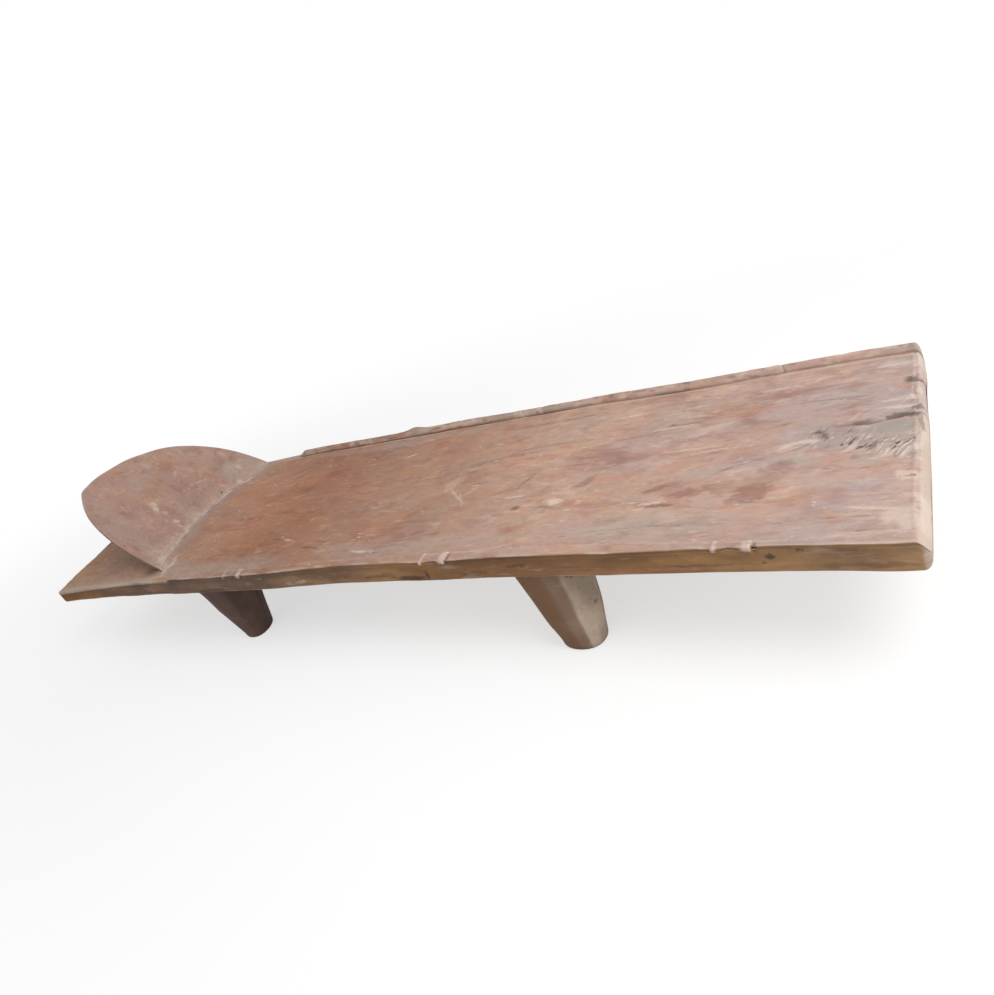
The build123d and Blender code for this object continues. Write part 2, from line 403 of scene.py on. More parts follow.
# kind, x, y, half length, half width, turn, strength: stains and scuffs on the deck
deckMarks = [
    ("wine", 842, -122, 36, 30, 10, 0.85), ("wine", 884, -62, 30, 22, 30, 0.75),
    ("wine", 858, -92, 44, 24, 35, 0.55), ("wine", 800, -95, 40, 26, 0, 0.3),
    ("warm", 812, -156, 20, 8, 0, 0.9), ("warm", 846, -166, 26, 9, 10, 0.7),
    ("wine", 738, -104, 30, 13, 5, 0.8), ("wine", 690, -84, 46, 15, 10, 0.5),
    ("dark", 664, -88, 26, 9, 20, 0.3), ("dark", 690, -133, 32, 5, 0, 0.5),
    ("pale", 680, -124, 26, 3, 5, 0.8), ("pale", 640, -118, 20, 3, 0, 0.6),
    ("wine", 650, -122, 40, 9, 0, 0.45), ("wine", 540, 46, 82, 14, -4, 0.6),
    ("wine", 596, 18, 44, 16, 0, 0.55), ("warm", 552, -36, 58, 15, 4, 0.6),
    ("wine", 470, 24, 60, 7, -8, 0.5), ("wine", 520, 4, 70, 8, -10, 0.45), ("warm", 500, 66, 60, 12, 0, 0.5),
    ("dark", 520, -42, 26, 10, 38, 0.34), ("wine", 555, -112, 66, 16, -3, 0.42),
    ("warm", 520, -105, 40, 13, 0, 0.5), ("pale", 468, -90, 22, 11, 0, 0.85),
    ("dark", 452, -104, 30, 6, -8, 0.35), ("dark", 386, -99, 13, 8, 10, 0.55),
    ("pale", 376, -62, 30, 4, 0, 0.7), ("dark", 374, -18, 30, 4, 62, 0.42),
    ("wine", 372, -8, 34, 22, 50, 0.25), ("wine", 208, 50, 38, 9, 14, 0.85),
    ("wine", 236, 82, 44, 6, 6, 0.7), ("wine", 252, 2, 38, 5, 4, 0.6), ("pale", 176, 18, 40, 20, 60, 0.25),
    ("pale", 212, -34, 46, 3.2, -42, 0.5), ("pale", 232, -52, 42, 2.6, -58, 0.45),
    ("pale", 236, -30, 40, 2.4, 36, 0.4), ("wine", 120, -80, 27, 9, 18, 0.65),
    ("wine", 84, -130, 48, 9, 14, 0.6), ("wine", 166, -148, 20, 6, 12, 0.75),
    ("wine", -46, 116, 24, 22, 40, 0.4), ("pale", -30, 160, 26, 3, 20, 0.7),
    ("dark", -114, -148, 25, 2.4, -5, 0.6), ("dark", -136, -166, 29, 4, -8, 0.5),
    ("pale", -238, -130, 30, 3, -14, 0.7), ("wine", -36, -93, 56, 5, -14, 0.45),
    ("wine", 68, -146, 47, 11, 18, 0.55), ("pale", 40, -196, 34, 4, -6, 0.8),
    ("wine", 78, -200, 34, 5, -4, 0.6), ("pale", 1074, -116, 22, 15, 10, 0.7),
    ("dark", 1078, -118, 8, 3.5, 0, 0.6), ("pale", 1070, -206, 34, 26, 10, 0.55),
    ("pale", 1050, -190, 60, 4, -12, 0.55), ("warm", 1010, -96, 70, 24, 0, 0.3),
    ("wine", 905, 158, 40, 6, 4, 0.55), ("pale", 905, 2, 34, 7, 18, 0.6), ("wine", 806, 112, 20, 16, 0, 0.5),
    ("wine", 820, 84, 44, 8, 6, 0.3), ("pale", 742, 84, 40, 12, 20, 0.3), ("pale", 660, 108, 40, 4, 0, 0.5),
    ("pale", 560, 178, 34, 3, 4, 0.7), ("pale", 690, 172, 40, 3, 4, 0.5), ("wine", 640, 196, 60, 7, 3, 0.4),
    ("wine", 420, 60, 60, 9, 5, 0.3), ("warm", 640, 30, 70, 14, 0, 0.35), ("pale", 720, 26, 60, 3, 0, 0.5),
    ("pale", 760, 12, 50, 3.5, 4, 0.5), ("warm", 780, -10, 80, 30, 5, 0.3),
    ("warm", -430, -60, 130, 60, 10, 0.35), ("warm", -540, -10, 110, 80, 20, 0.38),
    ("warm", -330, 30, 120, 50, 0, 0.3), ("warm", -520, 110, 120, 70, 10, 0.36),
    ("warm", -360, 130, 110, 40, 0, 0.35), ("warm", -600, -90, 60, 40, 10, 0.35),
    ("wine", -300, 70, 90, 24, 8, 0.3), ("wine", -180, 10, 60, 30, 0, 0.3),
    ("wine", -90, -60, 60, 30, 10, 0.35), ("ash", 660, -192, 210, 34, 2, 0.75),
    ("ash", 260, -196, 260, 30, 2, 0.65), ("ash", 0, -190, 130, 28, -4, 0.5),
    ("ash", 480, 190, 230, 26, 0, 0.4), ("ash", -90, 226, 200, 22, 0, 0.5),
    ("ash", -300, 236, 140, 18, 0, 0.4), ("ash", 735, -60, 46, 16, 10, 0.5),
    ("ash", 60, -30, 120, 40, 0, 0.22), ("wine", -60, -110, 90, 24, 0, 0.3),
    ("dark", 300, 205, 70, 3, 0, 0.3), ("dark", 420, 206, 60, 3.5, 2, 0.4), ("dark", 662, 118, 7, 3, 0, 0.6),
    ("dark", 556, 150, 5, 3, 0, 0.5), ("dark", 360, 72, 5, 3, 0, 0.55), ("dark", 330, 92, 5, 3, 0, 0.5),
    ("ash", 60, 236, 300, 10, 0, 0.5), ("pale", 1010, -238, 90, 3, 2, 0.4),
    ("pale", -634, -186, 8, 24, 0, 0.6), ("pale", -646, -160, 8, 16, 0, 0.5),
    ("ash", -600, -205, 40, 16, 0, 0.7), ("mauve", -500, -180, 120, 30, -4, 0.4),
    ("wine", -445, -150, 34, 5, -12, 0.6), ("wine", -395, -128, 40, 4, -6, 0.5),
    ("wine", -250, 30, 40, 6, 4, 0.5), ("wine", -210, -20, 44, 7, 10, 0.45),
    ("wine", -150, 60, 34, 8, 0, 0.45), ("wine", 10, 60, 50, 7, 6, 0.4), ("wine", 330, -40, 50, 7, 8, 0.45),
    ("wine", 400, -66, 44, 6, 0, 0.45), ("wine", 740, 60, 60, 7, 6, 0.45), ("wine", 610, 96, 44, 6, 4, 0.4),
    ("warm", 700, -30, 60, 16, 6, 0.6), ("warm", 880, -120, 50, 14, 6, 0.6),
    ("warm", 930, -150, 80, 16, 0, 0.5), ("warm", 330, 60, 80, 18, 4, 0.4),
    ("warm", 110, 10, 90, 22, 4, 0.4), ("warm", 860, 60, 80, 12, 4, 0.45),
]
# around the torn ground at the foot
footMarks = [
    ("grey", 1052, 16, 40, 20, 0, 0.95), ("grey", 1008, 12, 34, 16, -8, 0.8),
    ("grey", 1076, 112, 30, 16, 0, 0.5), ("grey", 1086, 58, 16, 30, 0, 0.9),
    ("grey", 934, 16, 26, 18, 10, 0.6), ("mauve", 968, 20, 26, 16, 0, 0.8),
    ("ash", 1020, 16, 14, 12, 0, 0.9), ("grey", 1060, -30, 44, 16, -14, 0.6),
    ("dark", 1000, 39, 36, 7, 1, 0.55), ("dark", 1064, 46, 32, 9, 0, 0.65),
    ("dark", 1084, 150, 15, 13, 0, 0.7), ("dark", 938, 29, 12, 6, 20, 0.7), ("dark", 948, 14, 9, 9, 0, 0.6),
    ("dark", 1026, -26, 18, 6, 54, 0.55), ("dark", 1088, 62, 9, 10, 0, 0.6),
    ("dark", 1092, 20, 4, 30, 0, 0.5), ("mauve", 1090, 90, 12, 50, 0, 0.6), ("pale", 928, 5, 15, 6, 10, 0.6),
    ("pale", 905, 4, 22, 4, 10, 0.6), ("pale", 992, -26, 22, 6, 54, 0.6),
    ("pale", 1080, -46, 26, 7, 54, 0.6), ("pale", 1046, -58, 34, 5, 16, 0.4),
    ("pale", 1060, 70, 34, 5, -4, 0.7), ("pale", 1080, 96, 18, 10, 0, 0.65),
    ("pale", 1048, 94, 22, 5, 0, 0.5), ("pale", 996, 62, 18, 5, 54, 0.4), ("pale", 1092, 112, 6, 18, 0, 0.8),
    ("pale", 1060, 205, 34, 8, 0, 0.5), ("pale", 860, 190, 30, 4, 4, 0.6),
    ("wine", 850, 150, 110, 26, 4, 0.35), ("warm", 815, 128, 60, 14, 4, 0.6),
    ("wine", 985, 160, 36, 8, 0, 0.5), ("wine", 1000, -56, 10, 7, 0, 0.6),
    ("warm", 975, -60, 34, 12, 0, 0.5),
]
# the same on the headrest's face, placed by x and y
headMarks = [
    ("pale", -800, -26, 7, 8, 0, 0.5), ("pale", -788, -36, 6, 7, 20, 0.65),
    ("pale", -772, -30, 5, 6, 0, 0.4), ("pale", -744, -36, 6, 8, -10, 0.6),
    ("pale", -730, -44, 5, 4, 0, 0.4), ("pale", -816, 96, 5, 12, 30, 0.3),
    ("dark", -704, 111, 4, 3.5, 0, 0.9), ("warm", -880, -70, 60, 50, 0, 0.45),
    ("warm", -800, -110, 40, 50, 0, 0.25), ("ash", -680, 190, 60, 60, 0, 0.55),
    ("ash", -650, 235, 50, 30, 0, 0.5), ("wine", -760, 60, 60, 36, 0, 0.3),
    ("wine", -840, 60, 60, 50, 0, 0.25), ("wine", -730, -110, 34, 40, 0, 0.35),
    ("wine", -712, -40, 20, 60, 0, 0.25), ("pale", -760, 112, 26, 4, 60, 0.3),
    ("pale", -706, 130, 16, 5, 0, 0.3), ("pale", -668, 158, 12, 9, 0, 0.6),
    ("ash", -700, -160, 36, 22, 0, 0.7), ("pale", -676, -170, 14, 16, 0, 0.5),
    ("warm", -810, 140, 50, 30, 0, 0.25), ("pale", -690, 200, 14, 6, 0, 0.4),
    ("ash", -850, -120, 60, 20, 0, 0.3), ("mauve", -780, -150, 70, 40, 0, 0.6),
]
# on the near side, placed by x and z
nearMarks = [
    ("dark", 232, 214, 3, 12, 8, 0.9), ("dark", 186, 207, 46, 8, 0, 0.75),
    ("dark", 110, 216, 40, 7, 6, 0.45), ("dark", -464, 207, 5, 4, 0, 0.9), ("dark", 445, 226, 22, 6, 4, 0.6),
    ("warm", 452, 222, 20, 7, 0, 0.7), ("dark", 892, 229, 8, 6, 0, 0.85), ("dark", 883, 217, 4, 3, 0, 0.8),
    ("dark", 934, 241, 9, 4, 0, 0.8), ("dark", 960, 244, 80, 4, 0, 0.45), ("dark", 1000, 240, 30, 6, 0, 0.5),
    ("dark", -330, 246, 60, 4, 0, 0.6), ("dark", -720, 234, 52, 9, 0, 0.4),
    ("warm", -640, 220, 46, 16, 0, 0.4), ("pale", -120, 214, 18, 6, 0, 0.5),
    ("pale", -160, 212, 12, 5, 0, 0.4), ("warm", 700, 206, 260, 8, 0, 0.5),
    ("dark", -430, 206, 70, 9, 0, 0.6), ("dark", 40, 250, 120, 4, 0, 0.5),
    ("dark", 780, 212, 50, 3, 0, 0.35), ("dark", 1030, 208, 60, 8, 0, 0.4),
    ("warm", -560, 206, 60, 8, 0, 0.3), ("dark", 330, 214, 40, 9, 0, 0.35),
    ("pale", 300, 232, 30, 5, 0, 0.2),
]


def addMarks(paint, a, b, marks, where):
    for seed, (kind, ca, cb, halfA, halfB, turn, strength) in enumerate(marks):
        reach = 1.6 * max(halfA, halfB)
        near = where & (np.abs(a - ca) < reach) & (np.abs(b - cb) < reach)
        if not near.any():
            continue
        ta, tb = a[near] - ca, b[near] - cb
        c, s = math.cos(math.radians(turn)), math.sin(math.radians(turn))
        u, v = (ta * c + tb * s) / halfA, (tb * c - ta * s) / halfB
        ragged = 0.42 * softNoise((u, v), (0.5, 0.5), seed)
        ragged = ragged + 0.24 * softNoise((u, v), (0.17, 0.21), seed + 300)
        shape = 1 - ease(np.hypot(u, v) + ragged, 0.5, 1.12)
        paint[kind][near] = np.maximum(paint[kind][near], strength * shape)


def newPaint(shape):
    return {name: np.zeros(shape) for name in paints}


def layOn(paint, label, value, where=True):
    # a mark shows where it is stronger than what is there
    paint[label] = np.maximum(paint[label], np.where(where, value, 0))


# mesh building
meshing = {"inside": 0.05, "weld": 0.02, "thinnest": 0.01, "sharp": 38}    # mm, and degrees


def buildMesh(name, rings, paint):
    # rings: rows of points that all have the same count, in mm
    rows, count = rings.shape[:2]
    low, high = np.array(cadLow) / mm + meshing["inside"], np.array(cadHigh) / mm - meshing["inside"]
    places = np.clip(rings.reshape(-1, 3), low, high) * mm
    i = np.arange(rows - 1)[:, None] * count
    j = np.arange(count)[None]
    k = (j + 1) % count
    quads = np.stack([i + j, i + k, i + count + k, i + count + j], -1).reshape(-1, 4)
    mesh = bpy.data.meshes.new(name)
    mesh.from_pydata(places.tolist(), [], quads.tolist())
    for label, values in paint.items():
        layer = mesh.attributes.new(label, "FLOAT", "POINT")
        layer.data.foreach_set("value", np.clip(values, 0, 1).astype(np.float32).ravel())
    work = bmesh.new()
    work.from_mesh(mesh)
    bmesh.ops.remove_doubles(work, verts=work.verts, dist=meshing["weld"] * mm)
    bmesh.ops.dissolve_degenerate(work, dist=meshing["thinnest"] * mm, edges=work.edges)
    openEdges = [e for e in work.edges if e.is_boundary]
    if openEdges:
        bmesh.ops.holes_fill(work, edges=openEdges, sides=0)
    bmesh.ops.recalc_face_normals(work, faces=work.faces)
    work.to_mesh(mesh)
    work.free()
    mesh.shade_smooth()
    mesh.set_sharp_from_angle(angle=math.radians(meshing["sharp"]))
    piece = bpy.data.objects.new(name, mesh)
    bpy.context.scene.collection.objects.link(piece)
    return piece


def settle(piece, node, material):
    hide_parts(node)
    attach(piece, "root")
    piece.data.materials.append(material)
    print(piece.name + ":", len(piece.data.polygons), "faces")


def turnedRound(rings, paint):
    return rings[::-1], {label: values[::-1] for label, values in paint.items()}


def capRings(rings, paint, steps, atStart, middleOf):
    # closes one end with rings that shrink onto a middle line
    if atStart:
        return turnedRound(*capRings(*turnedRound(rings, paint), steps, False, middleOf))
    ring = rings[-1]
    inward = middleOf(ring) - ring
    extra = [ring + inward * (n / steps) for n in range(1, steps + 1)]
    grown = {k: np.concatenate([v, np.repeat(v[-1:], steps, 0)]) for k, v in paint.items()}
    return np.concatenate([rings, extra]), grown


def ringMiddle(ring):
    return np.repeat(ring.mean(0)[None], len(ring), 0)


def middleLine(inset, height):
    def place(ring):
        low, high = ring[:, 1].min() + inset, ring[:, 1].max() - inset
        return np.stack([ring[:, 0], np.clip(ring[:, 1], low, high), np.full(len(ring), height)], -1)
    return place


def roughEnd(rings, count):
    # gives the foot end's face its split and worn unevenness
    y, z = rings[-count:, :, 1], rings[-count:, :, 2]
    broad = relief["endRough"] * (0.5 + 0.5 * softNoise((y, z), (55, 30), 121))
    rings[-count:, :, 0] -= broad + 0.5 * np.abs(softNoise((y, z), (12, 9), 123))


def arc(centreY, centreZ, radius, start, stop, count=6):
    # points of an arc, in degrees: 0 is outward +y, 90 is up
    turn = np.radians(np.linspace(start, stop, count))[None]
    return (centreY + radius * np.cos(turn), centreZ + radius * np.sin(turn),
            np.cos(turn) + 0 * centreY, np.sin(turn) + 0 * centreY)


def stations(low, high, step, lowFine=0, highFine=0):
    # places along the bed, closer together where an end is rounded
    xs = list(np.arange(low + lowFine, high - highFine, step))
    if lowFine:
        xs = list(low + lowFine * (1 - np.cos(np.linspace(0, math.pi / 2, 16)))[:-1]) + xs
    if highFine:
        xs = xs + list(high - highFine * (1 - np.cos(np.linspace(math.pi / 2, 0, 18))))
    if xs[-1] < high:
        xs.append(high)
    return np.array(sorted(set(np.round(xs, 4))))


# the parts of the plank's outline; the rims stand on the seats
topFace, nearFace, farFace, underFace, arrisFace, nearSeat, farSeat = range(1, 8)
# steps across the top, in mm of its nominal width: finer beside the rims
across = {"edge": np.array([0, 0.5, 1.3, 2.3, 3.5, 5, 6.8, 8.8]), "whole": 484,
          "middle": np.linspace(11, 473, 178)}


def plankSection(xs, isTail):
    # closed outline of the plank at each station: points, push directions and parts
    station = xs[:, None]
    yN, yF = edgeY(station, -1), edgeY(station, 1)
    low = plank["underZ"] - flow(station, plank["underSag"])
    if isTail:
        tip = endDrop(station, plank["tailTip"], plank["headX"])
        top, low = np.interp(station, *zip(*plank["tailTop"])) - tip, low + tip
        onN = onF = 0 * station
        arris = np.interp(station, *zip(*plank["tailArris"]))
    else:
        top, low = plank["deckZ"] + 0 * station, low + endDrop(station, plank["footUnder"], plank["footX"])
        onN, onF = rimOn(station, -1), rimOn(station, 1)
        arris = plank["arris"]
    arrisN, arrisF = arris * (1 - onN) + 0.02, arris * (1 - onF) + 0.02
    bevel = plank["underBevel"] * (1 + 0.35 * softNoise((station, 0 * station), (70, 1), 71))
    bevel = np.minimum(bevel, (top - low) / 2 - 0.5)
    wallN, wallF = yN + flow(station, rims["near"]["width"]), yF - flow(station, rims["far"]["width"])
    parts = []

    def put(y, z, dy, dz, kind):
        shape = np.broadcast(y + 0 * station, z + 0 * station).shape
        values = [np.broadcast_to(v + 0 * station, shape) for v in (y, z, dy, dz)]
        parts.append(values + [np.full(shape, kind)])

    up = np.linspace(0, 1, 16)[1:-1][None]
    seat = np.linspace(0, 1, 9)[1:-1][None]
    back = np.linspace(1, 0, 84)[1:-1][None]
    edge = across["edge"]
    inner = np.concatenate([edge, across["middle"], across["whole"] - edge[::-1]])[None] / across["whole"]
    put(*arc(yN + bevel, low + bevel, bevel, 270, 180), nearFace)
    put(yN, low + bevel + (top - arrisN - low - bevel) * up, -1.0, 0.0, nearFace)
    put(*arc(yN + arrisN, top - arrisN, arrisN, 180, 90), arrisFace)
    put(yN + arrisN + (wallN - yN - arrisN) * seat, top, 0.0, 1.0, nearSeat)
    put(wallN + (wallF - wallN) * inner, top, 0.0, 1.0, topFace)
    put(wallF + (yF - arrisF - wallF) * seat, top, 0.0, 1.0, farSeat)
    put(*arc(yF - arrisF, top - arrisF, arrisF, 90, 0), arrisFace)
    put(yF, top - arrisF - (top - arrisF - low - bevel) * up, 1.0, 0.0, farFace)
    put(*arc(yF - bevel, low + bevel, bevel, 0, -90), farFace)
    put(yN + bevel + (yF - yN - 2 * bevel) * back, low, 0.0, -1.0, underFace)
    y, z, dy, dz, kind = (np.concatenate([p[n] for p in parts], 1) for n in range(5))
    return SimpleNamespace(x=station + 0 * y, y=y, z=z, dy=dy, dz=dz, kind=kind,
                           wallN=wallN, wallF=wallF, onN=onN, onF=onF)


def paintDeck(paint, x, y, z, top, isTop):
    addMarks(paint, x, y, deckMarks, top)
    # a mauve band along the headrest, ragged on the deck's side, between a pale line and dark flecks
    beyond = x - creaseLine(y)
    ragged = beyond + 4 * softNoise((x, y), (30, 18), 107) + 2.5 * softNoise((x, y), (9, 7), 108)
    paint["mauve"] = np.where(top, 0.9 * (1 - ease(ragged, 40, 62)), 0)
    broken = patchy((y,), (28,), 109, -0.5, 0.4, 0.3), patchy((x, y), (7, 6), 106, -0.5, 0.3, 0.45)
    layOn(paint, "pale", 0.75 * bump(beyond - 3, 8) * broken[0] * broken[1], top)
    fleck = patchy((x, y), (8, 11), 110, 0.35, 0.8) * bump(ragged - 12, 6)
    layOn(paint, "dark", 0.35 * fleck, top)
    edging = (1 - ease(y + 9 * softNoise((x, y), (60, 20), 112), -212, -160)) * (1 - ease(x, -300, -140))
    layOn(paint, "ash", 0.75 * edging, top)
    layOn(paint, "ash", 0.8, isTop & (y > 243) & (x < -480))
    # the torn ground
    rough = roughPatch(x, y)
    torn = roughNoise((x, y), (34, 14), 111)
    paint["grey"] = np.where(top, rough * (0.55 + 0.4 * ease(torn, -0.4, 0.4)), 0)
    layOn(paint, "dark", rough * ease(torn, 0.2, 0.8) * 0.4, top)
    lower = ease(30 - y - 0.25 * (x - 930), 0, 22)
    frayed = 0.45 * ease(x, 1045, 1090) * ease(y, -90, -30)
    paint["torn"] = np.where(top, np.maximum(rough * (0.35 + 0.65 * lower), frayed), 0)
    addMarks(paint, x, y, footMarks, top)
    # the foot's edge is worn, and only the lowest part of its face's far half is freshly split
    wander = 3 * softNoise((y,), (14,), 113)
    layOn(paint, "pale", ease(x + wander, 1082, 1092) * (0.45 + 0.35 * patchy((x, y), (8, 30), 114)), isTop)
    starts = flow(y, plank["splitFrom"], 9)
    covered = ease(y, 0, 50) * ease(z + 0.6 * wander, 209, 213)
    paint["endCut"] = ease(x + 0.5 * wander, starts, starts + 3) * (1 - covered)
    inFace = ease(x, 1093, 1097)
    layOn(paint, "dark", 0.6 * (bump(z - 211, 2.2) * inFace * ease(y, 20, 60)))
    layOn(paint, "mauve", 0.8 * covered * inFace)


def paintTail(paint, x, y, isFlat, isTop):
    paint["sideTone"] = np.where(isFlat, 0.12, paint["sideTone"])
    lip = np.exp(-edgeGap(x, y) / 16)
    layOn(paint, "pale", 0.45 * lip, isTop)
    paint["ash"] = np.where(isTop & (y < 0), 0.7 * lip ** 0.7, 0)
    # painted shadow: a dark red-brown patch in the corner under the headrest's near edge
    underLeafShadow = np.exp(-((x + 690) / 34) ** 2 - ((y + 212) / 16) ** 2)
    paint["wine"] = np.where(isTop, 0.8 * underLeafShadow, 0)
    layOn(paint, "dark", 0.6 * underLeafShadow ** 1.5, isTop)


def shapePlank(xs, isTail):
    p = plankSection(xs, isTail)
    x, y, z, kind = p.x, p.y, p.z, p.kind
    # both pieces follow the curved division under the headrest
    edge, run = plank["divideEdge"], plank["divideRun"]
    bow = plank["divideDepth"] * np.clip(1 - ((y - headMiddle) / headHalf) ** 2, 0, 1)
    x = x - bow * (ease(x, edge - run, edge) if isTail else 1 - ease(x, edge, edge + run))
    top = kind == topFace
    isTop = top | (kind >= arrisFace)
    atNear = (kind == nearSeat) | (kind == arrisFace) & (y < 0)
    atFar = (kind == farSeat) | (kind == arrisFace) & (y > 0)
    bare = np.where(atNear, 1 - p.onN, np.where(atFar, 1 - p.onF, 1.0))
    # top: broad undulation and a groove beside each rim
    fromNear, fromFar = y - p.wallN, p.wallF - y
    rise = topRelief(x, y)
    rise = np.where(top, rise * (0.35 + 0.65 * ease(np.minimum(fromNear, fromFar), -0.2, 14)), rise * 0.35)
    for wall, on, side, most in ((fromNear, p.onN, -1, 0.55), (fromFar, p.onF, 1, 0.8 - 0.6 * farFade(x))):
        strength = on * most * patchy((x,), (110,), 91 + side, -0.4, 0.3, 0.35)
        rise = rise - np.where(top, grooveDip(wall, x, 93 + side), 0) * strength
    # the wall line itself stays level with the rim's own foot
    foot = (np.abs(fromNear) < 0.1) & (p.onN > 0.5) | (np.abs(fromFar) < 0.1) & (p.onF > 0.5)
    rise = np.where(top & foot, 0, rise)
    paint = newPaint(y.shape)
    if isTail:
        rise = rise * relief["tailShare"]
    else:
        deep, dark = crackLines(x, y, cracks)
        layOn(paint, "dark", dark * (0.55 + 0.45 * softNoise((x, y), (17, 40), 95)), top)
        fine, red = crackLines(x, y, lineSet)
        paint["wine"] = np.where(top, 1.9 * red, 0)
        rise = rise - np.where(top, deep + 0.7 * fine, 0)
        # the little cove at the headrest
        beyond = x - creaseLine(y)
        inLeaf = ease(y, -216, -202) * (1 - ease(y, 249, 259))
        rise = rise + np.where(top, 4.0 * np.exp(-np.clip(beyond, 0, None) / 16) * inLeaf, 0)
        rise = rise - np.where(top, 1.4 * bump(beyond - 30, 16) * inLeaf, 0)
        # a shallow ridge and groove just inside the end arris
        ridge = x - 1080 - 2 * softNoise((y,), (60,), 99)
        rise = rise + np.where(top, 0.9 * bump(ridge, 2.2) - 1.2 * bump(ridge - 5.5, 2.2), 0)
    z = z + np.where(isTop, np.abs(p.dz) * bare * rise, 0)
    if not isTail:
        bottom = z.min(1, keepdims=True)
        share = np.where(isTop, 1.0, np.where(kind == underFace, 0, (z - bottom) / (plank["deckZ"] - bottom)))
        z = z - share * footDrop(x, y)
    for side, face in ((-1, nearFace), (1, farFace)):
        pushed = (kind == face) | ((kind == arrisFace) & (np.sign(y) == side))
        y = y + np.where(pushed, side * np.abs(p.dy) * sideRelief(x, z, side), 0)
    lifted = (kind == underFace) | ((kind < underFace) & (p.dz < -0.1))
    z = z + np.where(lifted, np.abs(p.dz) * underRelief(x, y), 0)
    # tones of the sides (a darker brown, partly patina and partly painted shade), worn arrises, and along
    # each rim a dark line of painted shade with a pale painted highlight on the ridge beside it
    isSide = (kind == nearFace) | (kind == farFace)
    # the arris takes the sides' darker brown as far as it faces sideways: partly patina, partly painted shade
    arrisTone = np.where(bare > 0.5, p.dy ** 2, 1.0)
    paint["sideTone"] = np.where(kind == arrisFace, arrisTone, isSide | (kind == underFace))
    layOn(paint, "pale", 0.55 * patchy((x, y), (50, 20), 101, -0.5, 0.6), (kind == arrisFace) & (bare > 0.5))
    worn = (0.2 + 0.35 * patchy((x,), (45,), 103, -0.2, 0.6)) * (1 - ease(np.abs(x), 1084, 1096))
    layOn(paint, "pale", worn, isSide & (p.dz < -0.3) & (p.dz > -0.95))
    nearWall = np.minimum(np.where(p.onN > 0.5, y - p.wallN, 99), np.where(p.onF > 0.5, p.wallF - y, 99))
    # painted shade: a dark line where the deck meets each rim's wall
    line = bump(nearWall, 1.7) * np.where(y > 0, 0.55 - 0.4 * farFade(x), 0.3)
    layOn(paint, "dark", line * patchy((x,), (110,), 92, -0.4, 0.3, 0.3), top)
    # painted highlight: a pale line on the small ridge beside each rim
    layOn(paint, "pale", bump(nearWall - 6.2, 2.4) * (0.35 + 0.4 * softNoise((x,), (38,), 105)), top)
    if isTail:
        paintTail(paint, x, y, top | (kind > arrisFace), isTop)
    else:
        paintDeck(paint, x, y, z, top, isTop)
    addMarks(paint, x, z, nearMarks, (kind == nearFace) | ((kind == arrisFace) & (y < 0)))
    layOn(paint, "dark", isSide * ease(z + 5 * softNoise((x, z), (70, 12), 115), 218, 246) * 0.4)
    return np.stack([x + endBack(x, y), y, z], -1), paint


# shader node groups
def makeTree(name, inputs, outputs):
    tree = bpy.data.node_groups.new(name, "ShaderNodeTree")
    for label, kind, value in inputs:
        socket = tree.interface.new_socket(label, in_out="INPUT", socket_type="NodeSocket" + kind)
        if value is not None:
            socket.default_value = value
    for label in outputs:
        tree.interface.new_socket(label, in_out="OUTPUT", socket_type="NodeSocketFloat")
    return tree, tree.nodes.new("NodeGroupInput").outputs, tree.nodes.new("NodeGroupOutput").inputs


def feed(tree, socket, value):
    if isinstance(value, bpy.types.NodeSocket):
        tree.links.new(value, socket)
    elif value is not None:
        socket.default_value = value


def addNode(tree, kind, values, **settings):
    # values go to the input sockets, by label or by number
    node = tree.nodes.new("ShaderNode" + kind)
    for label, value in settings.items():
        setattr(node, label, value)
    for label, value in values.items():
        feed(tree, node.inputs[label], value)
    return node


def maths(tree, operation, a, b, clamp=False):
    return addNode(tree, "Math", {0: a, 1: b}, operation=operation, use_clamp=clamp).outputs[0]


def plus(tree, a, b):
    return maths(tree, "ADD", a, b)


def times(tree, a, b):
    return maths(tree, "MULTIPLY", a, b)


def spread(tree, value, low, high, outLow=0.0, outHigh=1.0, smooth=True):
    values = {"Value": value, "From Min": low, "From Max": high, "To Min": outLow, "To Max": outHigh}
    curve = "SMOOTHSTEP" if smooth else "LINEAR"
    return addNode(tree, "MapRange", values, interpolation_type=curve).outputs["Result"]


def stretch(tree, vector, scale, shift=(0, 0, 0), turn=(0, 0, 0)):
    values = {"Vector": vector, "Location": shift, "Rotation": turn, "Scale": scale}
    return addNode(tree, "Mapping", values).outputs["Vector"]


def noiseAt(tree, vector, scale=1.0, detail=3.0, rough=0.55, twist=0.0):
    values = {"Vector": vector, "Scale": scale, "Detail": detail, "Roughness": rough, "Distortion": twist}
    return addNode(tree, "TexNoise", values).outputs["Fac"]


def mixColour(tree, amount, a, b, blend="MIX"):
    values = {0: amount, 6: a, 7: b}
    return addNode(tree, "Mix", values, data_type="RGBA", blend_type=blend, clamp_factor=True).outputs[2]


def combine(tree, x, y, z):
    return addNode(tree, "CombineXYZ", {0: x, 1: y, 2: z}).outputs[0]


